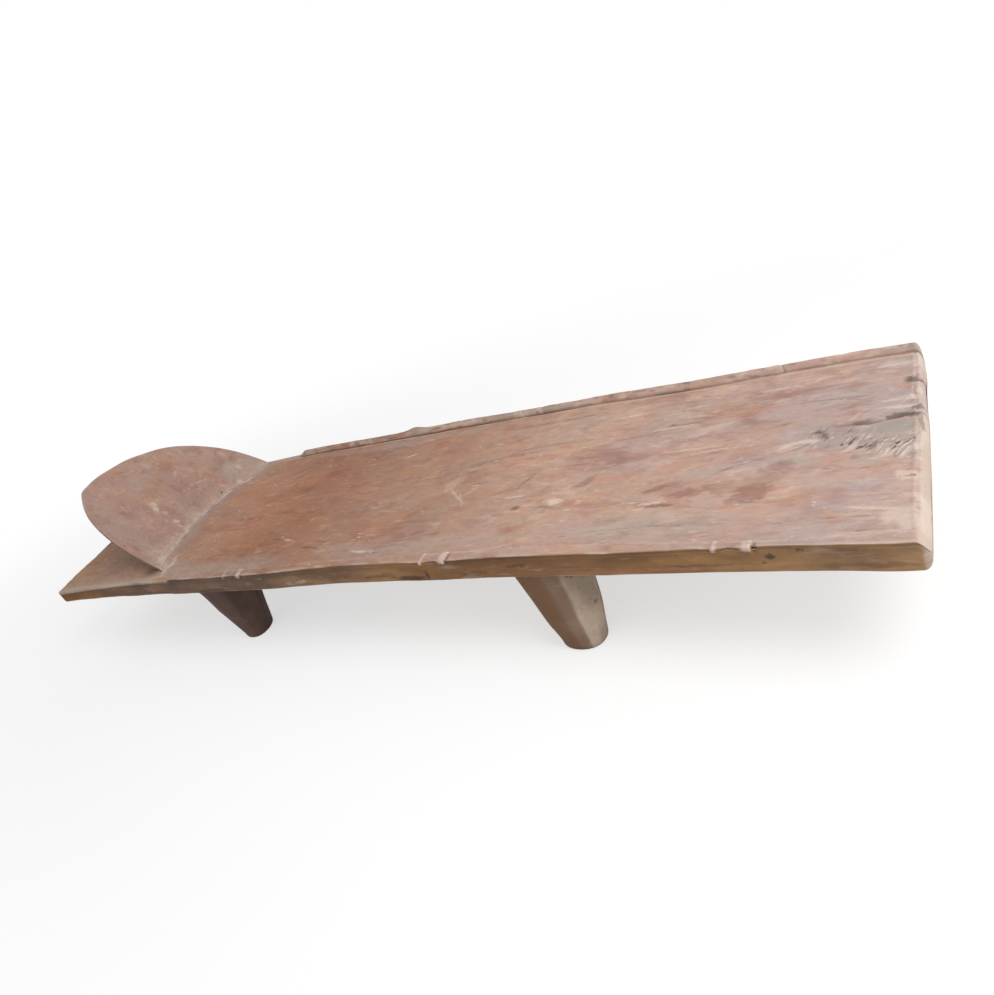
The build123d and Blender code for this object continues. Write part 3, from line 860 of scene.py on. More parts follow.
def makeFibres():
    # long fibres along the log: colour streaks, pores and their height
    inputs = [("Place", "Vector", None), ("Pitch", "Float", 260.0), ("Run", "Float", 9.0)]
    tree, come, go = makeTree("logFibres", inputs, ["Streak", "Pores", "Height"])
    place, pitch, run = (come[n] for n in range(3))
    warp = noiseAt(tree, stretch(tree, place, (3, 9, 9)), 1, 2)
    aside = combine(tree, 0.0, times(tree, warp, 0.03), times(tree, warp, 0.02))
    bent = addNode(tree, "VectorMath", {0: place, 1: aside}, operation="ADD").outputs[0]

    def fibre(runShare, pitchShare, detail, rough=0.55):
        fineness = times(tree, pitch, pitchShare), times(tree, pitch, pitchShare)
        scale = combine(tree, times(tree, run, runShare), *fineness)
        return noiseAt(tree, stretch(tree, bent, scale), 1, detail, rough)

    lines = noiseAt(tree, stretch(tree, bent, combine(tree, run, pitch, pitch)), 1, 4, 0.62)
    pores = spread(tree, fibre(3.5, 1.6, 2), 0.62, 0.74)
    feed(tree, go["Streak"], plus(tree, times(tree, lines, 0.5), times(tree, fibre(0.45, 0.17, 3), 0.5)))
    feed(tree, go["Pores"], pores)
    feed(tree, go["Height"], maths(tree, "SUBTRACT", lines, times(tree, pores, 0.5)))
    return tree


def makeBlotches():
    # soft patches of another tone, drawn out along the log
    inputs = [("Place", "Vector", None), ("Size", "Float", 4.0), ("Run", "Float", 0.4),
              ("Low", "Float", 0.45), ("High", "Float", 0.65), ("Shift", "Vector", (0, 0, 0))]
    tree, come, go = makeTree("toneBlotches", inputs, ["Mask"])
    place, size, run, low, high, shift = (come[n] for n in range(6))
    scale = combine(tree, times(tree, size, run), size, size)
    noise = noiseAt(tree, stretch(tree, place, scale, shift), 1, 4, 0.6, 0.4)
    feed(tree, go["Mask"], spread(tree, noise, low, high))
    return tree


def makeDashes():
    # short fine lines: scuffs when drawn pale, checks when drawn dark
    inputs = [("Place", "Vector", None), ("Along", "Float", 30.0), ("Across", "Float", 300.0),
              ("Turn", "Float", 0.0), ("Amount", "Float", 0.3), ("Soft", "Float", 0.07),
              ("Shift", "Vector", (0, 0, 0))]
    tree, come, go = makeTree("shortDashes", inputs, ["Mask"])
    place, along, across, turn, amount, soft, shift = (come[n] for n in range(7))
    spun = stretch(tree, place, (1, 1, 1), shift, combine(tree, 0.0, 0.0, turn))
    lines = noiseAt(tree, stretch(tree, spun, combine(tree, along, across, across)), 1, 2, 0.5, 0.3)
    where = noiseAt(tree, stretch(tree, spun, (7, 16, 16), (3, 1, 4)), 1, 3, 0.6)
    edge = spread(tree, amount, 0, 1, 0.84, 0.5, False)
    both = plus(tree, times(tree, lines, 0.72), times(tree, where, 0.36))
    feed(tree, go["Mask"], spread(tree, both, edge, plus(tree, edge, soft)))
    return tree


def makeToolMarks():
    # small facets left by the adze, as a height
    tree, come, go = makeTree("toolMarks", [("Place", "Vector", None), ("Size", "Float", 30.0)], ["Height"])
    values = {"Vector": stretch(tree, come[0], (0.55, 1, 0.8)), "Scale": come[1], "Smoothness": 0.25}
    feed(tree, go["Height"], addNode(tree, "TexVoronoi", values, feature="SMOOTH_F1").outputs["Distance"])
    return tree


fibres, blotches, dashes, toolMarks = makeFibres(), makeBlotches(), makeDashes(), makeToolMarks()
print("shader groups ready")


def useGroup(tree, group, **values):
    return addNode(tree, "Group", values, node_tree=group)


def ramp(tree, value, stops):
    node = addNode(tree, "ValToRGB", {0: value})
    node.color_ramp.interpolation = "EASE"
    band = node.color_ramp.elements
    while len(band) < len(stops):
        band.new(0.5)
    for element, (place, colour) in zip(band, stops):
        element.position = place
        element.color = (*colour, 1)
    return node.outputs[0]


def painted(tree, name):
    return addNode(tree, "Attribute", {}, attribute_name=name).outputs["Fac"]

deckWood = {
    # tone of the worn top from the head end to the foot end
    "along": [(0.0, (0.36, 0.215, 0.135)), (0.2, (0.405, 0.235, 0.155)), (0.36, (0.323, 0.156, 0.092)),
              (0.52, (0.372, 0.214, 0.148)), (0.72, (0.465, 0.305, 0.238)), (1.0, (0.455, 0.33, 0.28))],
    # how much the sides are lighter or darker along the bed
    "sideAlong": [(0.0, (0.93, 0.72, 0.38)), (0.2, (0.6, 0.63, 0.8)), (0.36, (0.64, 0.68, 0.85)),
                  (0.47, (0.9, 0.88, 0.93)), (0.62, (1.13, 1.0, 0.76)), (0.82, (1.15, 1.05, 0.82)),
                  (1.0, (1.17, 1.17, 1.12))],
    # soft patches: size, run, low, high, shift, tint
    "patches": [(6.0, 0.6, 0.42, 0.62, (1.3, 0, 0), (0.91, 0.94, 1.02)),
                (9.0, 0.5, 0.46, 0.64, (4.1, 2, 0), (1.03, 1.0, 0.95)),
                (13.0, 0.6, 0.48, 0.66, (7.7, 0, 3), (0.99, 0.9, 0.87)),
                (17.0, 0.5, 0.5, 0.64, (6.2, 3, 5), (1.06, 1.0, 0.92)),
                (20.0, 0.5, 0.52, 0.68, (2.9, 6, 1), (0.95, 1.03, 1.01)),
                (24.0, 0.5, 0.53, 0.66, (1.7, 8, 4), (0.9, 0.83, 0.82)),
                (32.0, 0.42, 0.52, 0.68, (5.3, 1, 7), (0.87, 0.82, 0.8)),
                (40.0, 0.42, 0.53, 0.68, (8.2, 4, 2), (1.13, 1.17, 1.19))],
    # tints by the height of the fibres and of the fine grain
    "streakShades": [(0.0, (0.7, 0.64, 0.61)), (0.5, (1, 1, 1)), (1.0, (1.18, 1.17, 1.15))],
    "fineShades": [(0.3, (0.8, 0.75, 0.73)), (0.5, (1, 1, 1)), (0.7, (1.14, 1.15, 1.16))],
    "side": (0.225, 0.125, 0.07), "sideLight": (0.42, 0.25, 0.125), "sideDeep": (0.09, 0.05, 0.03),
    "ash": (0.42, 0.345, 0.295), "warm": (0.52, 0.235, 0.135), "wine": (0.22, 0.09, 0.075),
    "mauve": (0.35, 0.245, 0.215), "grey": (0.30, 0.265, 0.245), "pale": (0.66, 0.54, 0.46),
    "dark": (0.03, 0.018, 0.013), "end": (0.425, 0.32, 0.25), "deep": (0.235, 0.11, 0.08),
    "streak": 0.3, "scuffs": 0.5, "checks": 0.5, "smears": 0.3, "warmShare": 0.6, "patchy": 0.55,
    "pitch": 210.0, "roughness": 0.68, "bump": 0.5,
}
# on the legs, the pale ash colour is painted light on the facets that face the foot, and the warm colour is
# the brown of the facets turned away
legWood = dict(deckWood, side=(0.135, 0.08, 0.052), sideLight=(0.26, 0.175, 0.12),
               sideDeep=(0.05, 0.03, 0.023), sideAlong=[(0.0, (1, 1, 1)), (1.0, (1, 1, 1))],
               ash=(0.61, 0.485, 0.385), warm=(0.212, 0.104, 0.051),
               warmShare=1.0, patchy=0.85, scuffs=0.2, smears=0.12, bump=0.6)
headWood = dict(deckWood, streak=0.25, scuffs=0.3, smears=0.2,
                along=[(0.0, (0.425, 0.275, 0.20)), (0.08, (0.41, 0.265, 0.203)),
                       (0.2, (0.355, 0.228, 0.187)), (1.0, (0.355, 0.228, 0.187))])


def buildWood(name, look):
    material = bpy.data.materials.new(name)
    material.use_nodes = True
    tree = material.node_tree
    tree.nodes.clear()
    wood = addNode(tree, "BsdfPrincipled", {"Specular IOR Level": 0.3})
    addNode(tree, "OutputMaterial", {0: wood.outputs[0]})
    place = tree.nodes.new("ShaderNodeTexCoord").outputs["Object"]
    alongBed = addNode(tree, "SeparateXYZ", {0: place}).outputs[0]
    grain = useGroup(tree, fibres, Place=place, Pitch=look["pitch"], Run=14.0)
    streak = spread(tree, grain.outputs["Streak"], 0.3, 0.7, 0.0, 1.0, False)

    def alongRamp(stops):
        ends = plank["headX"] * mm, plank["footX"] * mm
        return ramp(tree, spread(tree, alongBed, *ends, smooth=False), stops)

    def blotch(size, run, low, high, shift):
        values = {"Place": place, "Size": size, "Run": run, "Low": low, "High": high, "Shift": shift}
        return useGroup(tree, blotches, **values).outputs[0]

    def dash(**values):
        return useGroup(tree, dashes, Place=place, **values).outputs[0]

    def tint(colour, mask, amount, shade, blend="MIX"):
        return mixColour(tree, times(tree, mask, amount), colour, (*shade, 1), blend)

    # worn top
    colour = alongRamp(look["along"])
    for size, run, low, high, shift, shade in look["patches"]:
        colour = tint(colour, blotch(size, run, low, high, shift), 1.0, shade, "MULTIPLY")
    # sides and underside: a darker brown, partly patina and partly painted shade
    patches = blotch(8.0, 0.4, 0.4, 0.68, (0, 3, 8))
    side = mixColour(tree, patches, (*look["side"], 1), (*look["sideLight"], 1))
    side = tint(side, blotch(17.0, 0.3, 0.5, 0.7, (9, 3, 1)), 0.45, look["sideDeep"])
    side = mixColour(tree, 1.0, side, alongRamp(look["sideAlong"]), "MULTIPLY")
    colour = mixColour(tree, painted(tree, "sideTone"), colour, side)
    colour = mixColour(tree, painted(tree, "endCut"), colour, (*look["end"], 1))
    # fibres and a fine uneven grain run through everything
    colour = mixColour(tree, look["streak"], colour, ramp(tree, streak, look["streakShades"]), "MULTIPLY")
    fine = noiseAt(tree, stretch(tree, place, (60, 130, 130)), 1, 5, 0.68, 0.6)
    colour = mixColour(tree, 0.5, colour, ramp(tree, fine, look["fineShades"]), "MULTIPLY")
    colour = tint(colour, grain.outputs["Pores"], 0.3, look["deep"])
    shares = {"ash": 0.8, "warm": look["warmShare"], "wine": 0.7, "mauve": 0.85, "grey": 0.85}
    for label, amount in shares.items():
        broken = times(tree, painted(tree, label), spread(tree, fine, 0.34, 0.6, look["patchy"], 1.0))
        colour = tint(colour, broken, amount, look[label])
    # short strokes: pale scuffs, red-brown checks
    smear = dash(Along=17.0, Across=70.0, Amount=0.64, Soft=0.13, Shift=(4, 9, 1))
    colour = tint(colour, smear, look["smears"] * 0.8, look["pale"])
    smear = dash(Along=20.0, Across=78.0, Turn=0.12, Amount=0.62, Soft=0.13, Shift=(9, 5, 3))
    colour = tint(colour, smear, look["smears"], look["deep"])
    scuff = maths(tree, "MAXIMUM", dash(Along=46.0, Across=150.0, Amount=0.5, Soft=0.07),
                  dash(Along=60.0, Across=200.0, Turn=0.6, Amount=0.38, Soft=0.06, Shift=(3, 1, 0)))
    check = maths(tree, "MAXIMUM", dash(Along=30.0, Across=170.0, Amount=0.44, Soft=0.06, Shift=(7, 4, 2)),
                  dash(Along=66.0, Across=200.0, Turn=-0.4, Amount=0.36, Soft=0.06, Shift=(2, 8, 5)))
    # torn ground: pale and dark strokes aslant to the log
    torn = painted(tree, "torn")
    splinter = dash(Along=38.0, Across=150.0, Turn=-0.98, Amount=0.72, Soft=0.05, Shift=(6, 2, 2))
    gouge = dash(Along=34.0, Across=130.0, Turn=-0.9, Amount=0.62, Soft=0.06, Shift=(1, 7, 4))
    colour = tint(colour, times(tree, gouge, torn), 0.75, look["dark"])
    colour = tint(colour, times(tree, splinter, torn), 0.85, look["pale"])
    worn = spread(tree, painted(tree, "sideTone"), 0, 1, 1.0, 0.2, False)
    colour = tint(colour, times(tree, scuff, worn), look["scuffs"], look["pale"])
    colour = tint(colour, check, look["checks"], look["deep"])
    colour = tint(colour, painted(tree, "pale"), 0.85, look["pale"])
    colour = tint(colour, painted(tree, "dark"), 0.92, look["dark"])
    feed(tree, wood.inputs["Base Color"], colour)
    dull = plus(tree, look["roughness"], times(tree, streak, 0.1))
    dull = plus(tree, dull, times(tree, painted(tree, "ash"), 0.14))
    dull = maths(tree, "SUBTRACT", dull, times(tree, painted(tree, "pale"), 0.08), clamp=True)
    feed(tree, wood.inputs["Roughness"], dull)
    # height
    marks = useGroup(tree, toolMarks, Place=place, Size=34.0)
    height = times(tree, grain.outputs["Height"], 0.35)
    for operation, value, share in (("SUBTRACT", check, 0.6), ("SUBTRACT", times(tree, gouge, torn), 1.2),
                                    ("ADD", marks.outputs["Height"], 0.3), ("ADD", fine, 0.8),
                                    ("ADD", noiseAt(tree, place, 190.0, 4, 0.65), 0.35)):
        height = maths(tree, operation, height, times(tree, value, share))
    lumps = addNode(tree, "Bump", {"Strength": look["bump"], "Distance": 0.0016, "Height": height})
    feed(tree, wood.inputs["Normal"], lumps.outputs[0])
    return material


wornWood = buildWood("wornWood", deckWood)
leafWood = buildWood("leafWood", headWood)
hewnWood = buildWood("hewnLegWood", legWood)
print("woods ready")

# deck and tail board
rings, paint = shapePlank(stations(plank["divideEdge"], plank["footX"], plank["grid"], 0, 20), False)
rings, paint = capRings(rings, paint, 7, False, middleLine(14, 215))
roughEnd(rings, 8)
rings, paint = capRings(rings, paint, 1, True, middleLine(20, 221))
settle(buildMesh("sculptedDeck", rings, paint), "deck", wornWood)

rings, paint = shapePlank(stations(plank["headX"], plank["divideEdge"], plank["grid"], 26, 0), True)
rings, paint = capRings(rings, paint, 4, True, middleLine(10, 219))
# the end face has one tone of its own, so its edges don't smear over it
for label, value in plank["tailFace"].items():
    paint[label][:4] = value
rings, paint = capRings(rings, paint, 1, False, middleLine(20, 221))
settle(buildMesh("sculptedTailBoard", rings, paint), "tail_board", wornWood)


def rimSection(lap, station, side):
    # distance in from the outer edge, height over the deck and push directions; lap goes round it:
    # outer wall to 1, arris to 2, top to 3, inner slope to 4, inner wall to 5 and back underneath to 6
    rim, arris, wall = rims[sideName(side)], rims["arris"], rims["wall"]
    width = flow(station, rim["width"]) + 0 * lap
    high, crest = plank["rimZ"] - plank["deckZ"] + rim["extra"], rim["slope"]
    outerHigh = high - rim["drop"]
    turn = np.radians(180 - 90 * (lap - 1))
    rounded = np.sin(np.clip(lap - 2, 0, 1) * math.pi / 2) ** 0.9
    parts = [lap <= n for n in range(1, 6)]
    d = np.select(parts, [0, arris + arris * np.cos(turn), arris + (width - crest - arris) * (lap - 2),
                          width - crest * (4 - lap), width], width * (6 - lap))
    h = np.select(parts, [(outerHigh - arris) * lap, outerHigh - arris + arris * np.sin(turn),
                          outerHigh + (high - outerHigh) * rounded,
                          high - (high - wall) * np.clip(lap - 3, 0, 1) ** 1.35, wall * (5 - lap)], 0)
    inward = np.select(parts, [-1.0, np.cos(turn), 0, 0.5 * (lap - 3), 0.4], 0)
    upward = np.select(parts, [0, np.sin(turn), 1, 1 - 0.6 * (lap - 3), 0], 0)
    return d, h, inward, upward, width


def paintRim(side, lap, x, z, d, fromCrest, form, gap, swelling):
    paint = newPaint(lap.shape)
    top, body = (lap > 1.3) & (lap <= 4.4), (lap > 0.3) & (lap < 4.8)
    crestLine = bump(fromCrest, 3.0)
    uneven = patchy((x, d), (36, 9), 141 + side, -0.6, 0.5)
    lip = np.where(gap < 0, ease(form, 0.3, 0.9), ease(form, 0.02, 0.5)) * (0.6 + 0.4 * uneven)
    # the outer wall takes the sides' darker brown, partly patina and partly painted shade, except on the pale
    # lips
    paint["sideTone"] = np.clip(2 - lap, 0, 1) * (1 - lip)
    # a pale line along the crest: worn, and a painted highlight
    layOn(paint, "pale", 0.6 * crestLine * uneven, top)
    layOn(paint, "pale", 0.45 * bump(d - 1.5, 2.5) * uneven, top)
    # the pairs' lips painted pale: worn, and a painted highlight
    layOn(paint, "pale", 0.85 * lip, body)
    layOn(paint, "mauve", 0.8 * ease(-form, 0.1, 0.5), body)
    # painted shade in the V cut behind each pair
    layOn(paint, "dark", 0.6 * ease(-form, 0.85, 1.8), body)
    # painted shade along the foot of the rim's inner wall
    foot = ease(lap, 4.5, 5) * (lap <= 5) * (0.4 - 0.25 * farFade(x) if side > 0 else 0.3)
    layOn(paint, "dark", foot * patchy((x,), (160,), 92, -0.4, 0.3, 0.4))
    if side > 0:
        bare = 1 - 0.7 * ease(x, 420, 760)
        layOn(paint, "ash", (0.25 + 0.45 * patchy((x, d), (40, 12), 142)) * bare, lap > 1)
        layOn(paint, "mauve", 0.4 * patchy((x, d), (45, 12), 144, -0.2, 0.5), lap > 1)
        paint["pale"] = paint["pale"] * bare
        layOn(paint, "pale", 0.5 * patchy((x, d), (26, 3.2), 143, 0.2, 0.7), top)
        layOn(paint, "dark", 0.28 * patchy((x, d), (55, 12), 145, 0.25, 0.65), top)
        layOn(paint, "dark", 0.4 * patchy((x, d), (19, 3), 146, 0.35, 0.8), top)
        layOn(paint, "dark", 0.35 * swelling * crestLine, top)
    else:
        addMarks(paint, x, z, nearMarks, lap <= 1.6)
        layOn(paint, "ash", 0.3 * uneven + 0.4 * (1 - ease(x, -330, -160)), top)
        layOn(paint, "dark", 0.42 * (1 - lip), lap <= 1.2)
    layOn(paint, "pale", 0.6 * ease(x, 1082, 1094), top)
    starts = rims[sideName(side)]["splitFrom"]
    paint["endCut"] = ease(x, starts, starts + 3)
    return paint


def shapeRim(side):
    rim = rims[sideName(side)]
    station = stations(rim["start"], plank["footX"], plank["grid"] * 0.6, 0, 14)[:, None]
    t = [np.linspace(0, 1, 4)]
    for n, steps in enumerate((4, 12, 4, 3, 3), 1):
        t.append(n + np.linspace(0, 1, steps + 1)[1:])
    lap = np.concatenate(t)[:-1][None] + 0 * station
    x = station + 0 * lap
    d, h, inward, upward, width = rimSection(lap, station, side)
    # height along the rim: its start, the swelling, the rounded foot end and uneven wear
    form, gap = pairForm(x, d, side)
    worn = 1.3 * softNoise((x, d), (130, 30), 131 + side) + 0.7 * softNoise((x, d), (34, 9), 135 + side)
    worn = worn - 3 * np.clip(softNoise((x, d), (21, 14), 137 + side) - 0.45, 0, 1)
    gain = (worn + rim["lip"] * form) * upward
    place, half, lift = rims["hump"]
    swelling = bump(x - place, half)
    if side > 0:
        gain = gain + lift * swelling * upward
    over = np.clip(1 + (station - plank["footX"]) / rims["footRun"], 0, 1)
    h = np.clip((h + gain) * rimOn(station, side) * np.sqrt(1 - over ** 2.5), 0, None)
    y = edgeY(station, side) - side * d
    z = plank["deckZ"] + h - footDrop(x, y)
    y = y + np.where(lap <= 2, side * sideRelief(x, z, side) * np.abs(inward), 0)
    y = y - side * np.where(inward > 0, inward * 0.8 * softNoise((x, z), (42, 10), 139), 0)
    paint = paintRim(side, lap, x, z, d, d - width + 3.5, form, gap, swelling)
    rings, paint = capRings(np.stack([x + endBack(x, y), y, z], -1), paint, 1, True, ringMiddle)
    return capRings(rings, paint, 1, False, ringMiddle)


for side, node, name in ((-1, "near_rim", "sculptedNearRim"), (1, "far_rim", "sculptedFarRim")):
    settle(buildMesh(name, *shapeRim(side)), node, wornWood)

# headrest
leaf = {
    "rise": 377.0, "crownShift": 61.0, "fullness": 2.2, "dish": 30.0, "crownDish": 10.0,
    "rootThick": 30.0, "edgeThick": 20.0, "crownThick": 14.0, "rimThick": 9.0,
    "corner": (-120.0, 20.0, 5.0),    # place, half length and height of the blunt corner beside the crown
    "columns": 200, "rows": 130, "edgeSteps": 7,
}


def paintFace(paint, x, y, aboveFoot, inside):
    uneven = patchy((x, y), (30, 24), 165, -0.5, 0.5)
    layOn(paint, "pale", 0.25 * np.exp(-inside / 5) * uneven)
    haze = np.exp(-aboveFoot / (24 + 14 * softNoise((y,), (50,), 167)))
    broken = ease(roughNoise((x, y), (9, 7), 168), -0.4, 0.5)
    layOn(paint, "pale", 0.6 * np.exp(-aboveFoot / 9) * (0.4 + 0.6 * broken))
    layOn(paint, "pale", 0.6 * haze * broken)
    layOn(paint, "ash", 0.8 * haze)
    addMarks(paint, x, y, headMarks, True)


def shapeLeaf(look):
    s = np.sin(np.linspace(-math.pi / 2, math.pi / 2, look["columns"]))
    crown, n = -look["crownShift"], look["fullness"]
    a = crown + s * np.where(s < 0, headHalf + crown, headHalf - crown)
    outline = look["rise"] * np.clip(1 - np.abs(s) ** n, 0, 1) ** (1 / n)
    outline = outline + 2.2 * softNoise((a,), (46,), 151) * ease(outline, 20, 120) - 1.0
    place, halfLength, lift = look["corner"]
    outline = np.clip(outline + lift * bump(a - place, halfLength), 0, look["rise"] - 0.5)
    footDip = creaseDip(a + headMiddle)
    arch = 1 - (a / headHalf) ** 2

    def faceAt(h):
        # the crease's depth at the foot goes over into the dish further up
        dish = np.clip(look["dish"] * arch - (look["dish"] - look["crownDish"]) * h / look["rise"], 0, None)
        lean = ease(h, 20, 230)
        return footDip * (1 - lean) + dish * lean

    def backAt(h):
        middleThick = look["rootThick"] + look["dish"] - look["edgeThick"]
        thinning = look["dish"] - look["crownDish"] + look["rootThick"] - look["crownThick"]
        return look["edgeThick"] + middleThick * arch - thinning * h / look["rise"]

    def upFrom(foot):
        low = np.minimum(foot, outline)
        return low + (outline - low) * np.linspace(0, 1, look["rows"])[:, None]

    frontFoot, backFoot = footDip / math.tan(headSlope), backAt(0) / math.tan(headSlope)
    # face
    h = upFrom(frontFoot)
    wide = a[None] + 0 * h
    inside = np.minimum(outline - h, 400)
    uneven = (1.5 * softNoise((wide, h), (150, 120), 153) + 0.7 * softNoise((wide, h), (60, 46), 155)
              + 0.9 * adzeScoops(wide, h, (58, 50), 157) + 0.12 * softNoise((wide, h), (4.5, 30), 159))
    face = -faceAt(h) + uneven * (0.25 + 0.75 * (ease(inside, 0, 26) * ease(h - frontFoot, 0, 20)))
    # back
    hb = upFrom(backFoot)
    within, thin = outline - hb, look["rimThick"]
    thick = np.clip(backAt(hb) - faceAt(hb) - thin, 2, None) * ease(within, 0, 120) + thin
    uneven = 2.6 * adzeScoops(wide, hb, (56, 64), 161) + 1.0 * softNoise((wide, hb), (90, 90), 163)
    back = -faceAt(hb) - thick + uneven * ease(within, 0, 30) * ease(hb - backFoot, 0, 15)
    # rounded edge between the two
    steps = look["edgeSteps"]
    share = (np.arange(1, steps) / steps)[:, None]
    edgeH = outline + 1.6 * np.sin(math.pi * share) * ease(outline, 5, 40) - 0.8
    h = np.concatenate([h, edgeH, hb[::-1]])
    n = np.concatenate([face, face[-1] * (1 - share) + back[-1] * share, back[::-1]])
    wide = a[None] + 0 * h
    x = plank["creaseX"] - h * math.cos(headSlope) + n * math.sin(headSlope)
    z = plank["deckZ"] + h * math.sin(headSlope) + n * math.cos(headSlope)
    z = np.maximum(z, plank["deckZ"] - 1.5)
    # a little flare where the near edge runs into the deck
    y = wide + headMiddle - 6 * np.exp(-np.clip(h, 0, None) / 12) * ease(-wide, headHalf - 50, headHalf)
    rows = look["rows"]
    facePaint, paint = newPaint(face.shape), newPaint(x.shape)
    paintFace(facePaint, x[:rows], y[:rows], np.clip(h[:rows] - frontFoot, 0, None), inside)
    for label, values in facePaint.items():
        paint[label][:rows] = values
    # the rounded edge and the back take the sides' darker brown: partly patina, partly painted shade
    paint["sideTone"][rows:] = 0.5
    paint["sideTone"][rows + steps - 1:] = 1.0
    return np.stack([x.T, y.T, z.T], -1), {label: values.T for label, values in paint.items()}


settle(buildMesh("sculptedHeadrest", *shapeLeaf(leaf)), "headrest", leafWood)

# legs
legs = {
    # sizes in mm, and how much warm brown and how much painted light go on the facets
    "head": {"fromTail": 628, "topLength": 176, "tipLength": 72, "tipInset": 64, "lean": -14,
             "warm": 0.1, "ash": 0.15},
    "foot": {"fromTail": 1569, "topLength": 156, "tipLength": 91, "tipInset": 36, "lean": 18,
             "warm": 0.9, "ash": 1.0},
    "topWidth": 128, "tipWidth": 72, "topInset": 68, "tipRound": 7, "fullness": 2.4,
    "crisp": 34.0, "girth": 52,
    # flat cuts of the adze around a leg: direction in degrees, how far out, and how much painted light it
    # gets
    "cuts": [(-135, 1.0, 0.0), (-113, 1.0, 0.0), (-91, 1.0, 0.12), (-69, 0.99, 0.32), (-31, 0.9, 0.92),
             (26, 1.0, 0.9), (54, 0.98, 0.6), (82, 1.0, 0.4), (110, 0.99, 0.3), (138, 1.0, 0.1),
             (166, 0.98, 0.1), (194, 1.0, 0.0)],
    # small pits in the near leg at the foot: direction in half turns from the near side, height
    "pits": [(0.24, 178), (0.28, 172), (0.4, 158), (-0.2, 60), (0.44, 92)],
    "tipLevels": [0, 0.4, 1.2, 2.4, 4, 6, 8.5, 11, 14], "rowsFrom": 18, "rows": 84, "around": 160,
}


def centreLine(x):
    return plank["bow"] * (0.5 - (x / plank["footX"]) ** 2)


def shapeLeg(which, side, seed):
    size, tall = legs[which], plank["underZ"]
    topX = size["fromTail"] + plank["headX"]
    tipX = topX + size["lean"]
    topY = centreLine(topX) + side * (plank["halfWidth"] - legs["topInset"])
    tipY = centreLine(topX) + side * (plank["halfWidth"] - size["tipInset"])
    z = np.concatenate([legs["tipLevels"], np.linspace(legs["rowsFrom"], tall, legs["rows"])])[:, None]
    up = z / tall
    angle = np.linspace(0, 2 * math.pi, legs["around"], endpoint=False)[None]
    # hewn facets: the lowest of many flat cuts around the leg
    spin = np.random.default_rng(seed)
    faces, offset, tone = np.array(legs["cuts"]).T
    faces = -side * np.radians(faces + 3 * spin.uniform(-1, 1, len(faces)))
    offset = offset + 0.012 * spin.uniform(-1, 1, len(faces))
    sway = 0.05 * spin.uniform(-1, 1, len(faces))
    crisp, total = legs["crisp"], 0
    for f, o, w in zip(faces, offset, sway):
        level = o + (1 - o) * np.exp(-up * 4) + w * (up - 0.5)
        toward = np.cos(angle - f)
        total = total + np.where(toward > 0.15, np.clip(toward, 0.15, None) / level, 0.15) ** crisp
    # the cuts run out towards the rounded tip
    radius = 1 + (total ** (-1 / crisp) - 1) * (0.12 + 0.88 * ease(z, 0, 60))
    n = legs["fullness"]
    square = (np.abs(np.cos(angle)) ** n + np.abs(np.sin(angle)) ** n) ** (-1 / n)
    radius = radius * (0.35 + 0.65 * square)
    out = 2.5 * np.sin(up * math.pi), roundOff(legs["tipRound"] - z, legs["tipRound"])
    halfX = (size["tipLength"] + (size["topLength"] - size["tipLength"]) * up) / 2 + out[0] - out[1]
    halfY = (legs["tipWidth"] + (legs["topWidth"] - legs["tipWidth"]) * up) / 2 + out[0] - out[1]
    x = tipX + (topX - tipX) * up + halfX * radius * np.cos(angle)
    y = tipY + (topY - tipY) * up + halfY * radius * np.sin(angle)
    # cross cuts of the adze and a small flare under the plank
    z, around = z + 0 * angle, angle * legs["girth"] + 0 * z
    dent = 2.2 * adzeScoops(around, z, (30, 58), seed + 5) + 0.9 * softNoise((around, z), (40, 70), seed)
    push = dent * ease(z, 0, 20) + 5.0 * np.exp(-(tall - z) / 9)
    x, y = x + push * np.cos(angle), y + push * np.sin(angle)
    # painted light: on the foot legs the facets towards the foot are painted pale and the others a warm
    # brown; the head legs are painted dark as painted shade
    uneven = patchy((around, z), (26, 60), seed + 9, -0.3, 0.6)
    shift = 0.03 * softNoise((z,), (45,), seed + 3)
    facing = np.exp(80 * (np.stack([np.cos(angle + shift - f) / o for f, o in zip(faces, offset)]) - 1))
    tone = (facing * tone[:, None, None]).sum(0) / facing.sum(0)
    paint = newPaint(x.shape)
    paint["sideTone"][:] = 1
    paint["warm"] = size["warm"] * np.clip(1 - 1.9 * tone, 0, 1)
    paint["ash"] = tone * (0.7 + 0.3 * uneven) * size["ash"]
    # painted shade along the top, where the leg goes under the plank, and darker over its lowest part
    paint["dark"] = 0.4 * np.exp(-(tall - z) / 8) + 0.35 * ease(-z, -16, 0)
    if which == "head":
        # painted shade: the head legs are darkened all over and given a dark red
        layOn(paint, "dark", 0.5 + 0.12 * uneven + 0.2 * np.clip(tone, 0, 1))
        paint["wine"][:] = 0.55
    elif side < 0:
        for turn, height in legs["pits"]:
            aside = (angle - (1.5 + turn) * math.pi) * 58
            layOn(paint, "dark", 0.9 * np.exp(-(aside ** 2 + (z - height) ** 2) / 9))
    rings, paint = capRings(np.stack([x, y, z], -1), paint, 4, True, ringMiddle)
    return capRings(rings, paint, 1, False, ringMiddle)


for which, side, node, name, seed in (
        ("head", -1, "head_near_leg", "sculptedHeadNearLeg", 11),
        ("head", 1, "head_far_leg", "sculptedHeadFarLeg", 23),
        ("foot", -1, "foot_near_leg", "sculptedFootNearLeg", 37),
        ("foot", 1, "foot_far_leg", "sculptedFootFarLeg", 41)):
    settle(buildMesh(name, *shapeLeg(which, side, seed)), node, hewnWood)

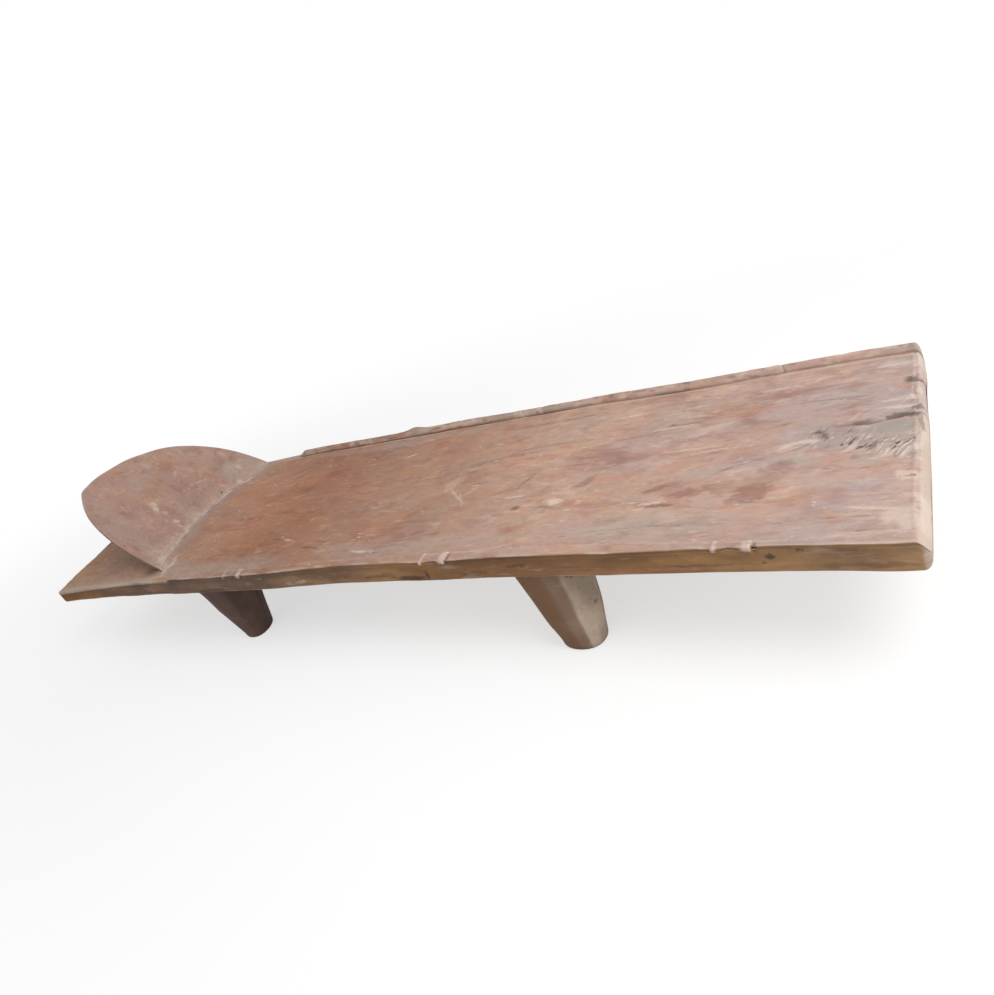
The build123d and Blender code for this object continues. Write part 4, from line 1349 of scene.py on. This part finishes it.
# floor and light
room = {
    "floorSize": 40, "floorColour": (0.6, 0.6, 0.6), "shadowShare": 0.38,
    "fadeStart": 0.7, "fadeEnd": 1.6, "fadeShape": (0.52, 1, 1),    # m beside the bed, drawn out along it
    "sky": 0.6,
    "keyPower": 62.0, "keyPlace": (2.3, -0.5, 2.8), "keySize": 2.0,
    "endPower": 13.0, "endPlace": (3.1, -0.7, 0.9), "endSize": 1.4,
    "aim": (0.2, 0, 0.2),
}
white = (1, 1, 1, 1)


def seenDirectly(tree):
    # 1 for what the camera sees, also by way of a reflection or through glass
    ray = tree.nodes.new("ShaderNodeLightPath").outputs
    seen = maths(tree, "MAXIMUM", ray["Is Camera Ray"], ray["Is Glossy Ray"])
    return maths(tree, "MAXIMUM", seen, ray["Is Transmission Ray"])


def buildFloor(look):
    bpy.ops.mesh.primitive_plane_add(size=look["floorSize"])
    floor = bpy.context.object
    floor.name = "studioFloor"
    material = bpy.data.materials.new("studioFloor")
    material.use_nodes = True
    tree = material.node_tree
    tree.nodes.clear()
    seen = seenDirectly(tree)
    place = stretch(tree, tree.nodes.new("ShaderNodeTexCoord").outputs["Object"], look["fadeShape"])
    away = addNode(tree, "VectorMath", {0: place}, operation="LENGTH").outputs["Value"]
    share = spread(tree, away, look["fadeStart"], look["fadeEnd"], 1 - look["shadowShare"], 1.0)
    ground = addNode(tree, "BsdfDiffuse", {0: mixColour(tree, seen, (*look["floorColour"], 1), white)})
    glow = addNode(tree, "Emission", {0: white, 1: 1.0})
    both = {0: times(tree, seen, share), 1: ground.outputs[0], 2: glow.outputs[0]}
    addNode(tree, "OutputMaterial", {0: addNode(tree, "MixShader", both).outputs[0]})
    floor.data.materials.append(material)


def buildSky(look):
    world = bpy.data.worlds.new("studioSky")
    bpy.context.scene.world = world
    world.use_nodes = True
    tree = world.node_tree
    tree.nodes.clear()
    strength = spread(tree, seenDirectly(tree), 0, 1, look["sky"], 1.0, False)
    addNode(tree, "OutputWorld", {0: addNode(tree, "Background", {0: white, 1: strength}).outputs[0]})


def addLamp(look, name):
    place = Vector(look[name + "Place"])
    data = bpy.data.lights.new(name + "Lamp", "AREA")
    data.shape = "DISK"
    data.size = look[name + "Size"]
    data.energy = look[name + "Power"]
    lamp = bpy.data.objects.new(name + "Lamp", data)
    lamp.location = place
    lamp.rotation_euler = (Vector(look["aim"]) - place).to_track_quat("-Z", "Y").to_euler()
    bpy.context.scene.collection.objects.link(lamp)


buildFloor(room)
buildSky(room)
addLamp(room, "key")
addLamp(room, "end")
bpy.context.scene.view_settings.view_transform = "Standard"
print("room ready")
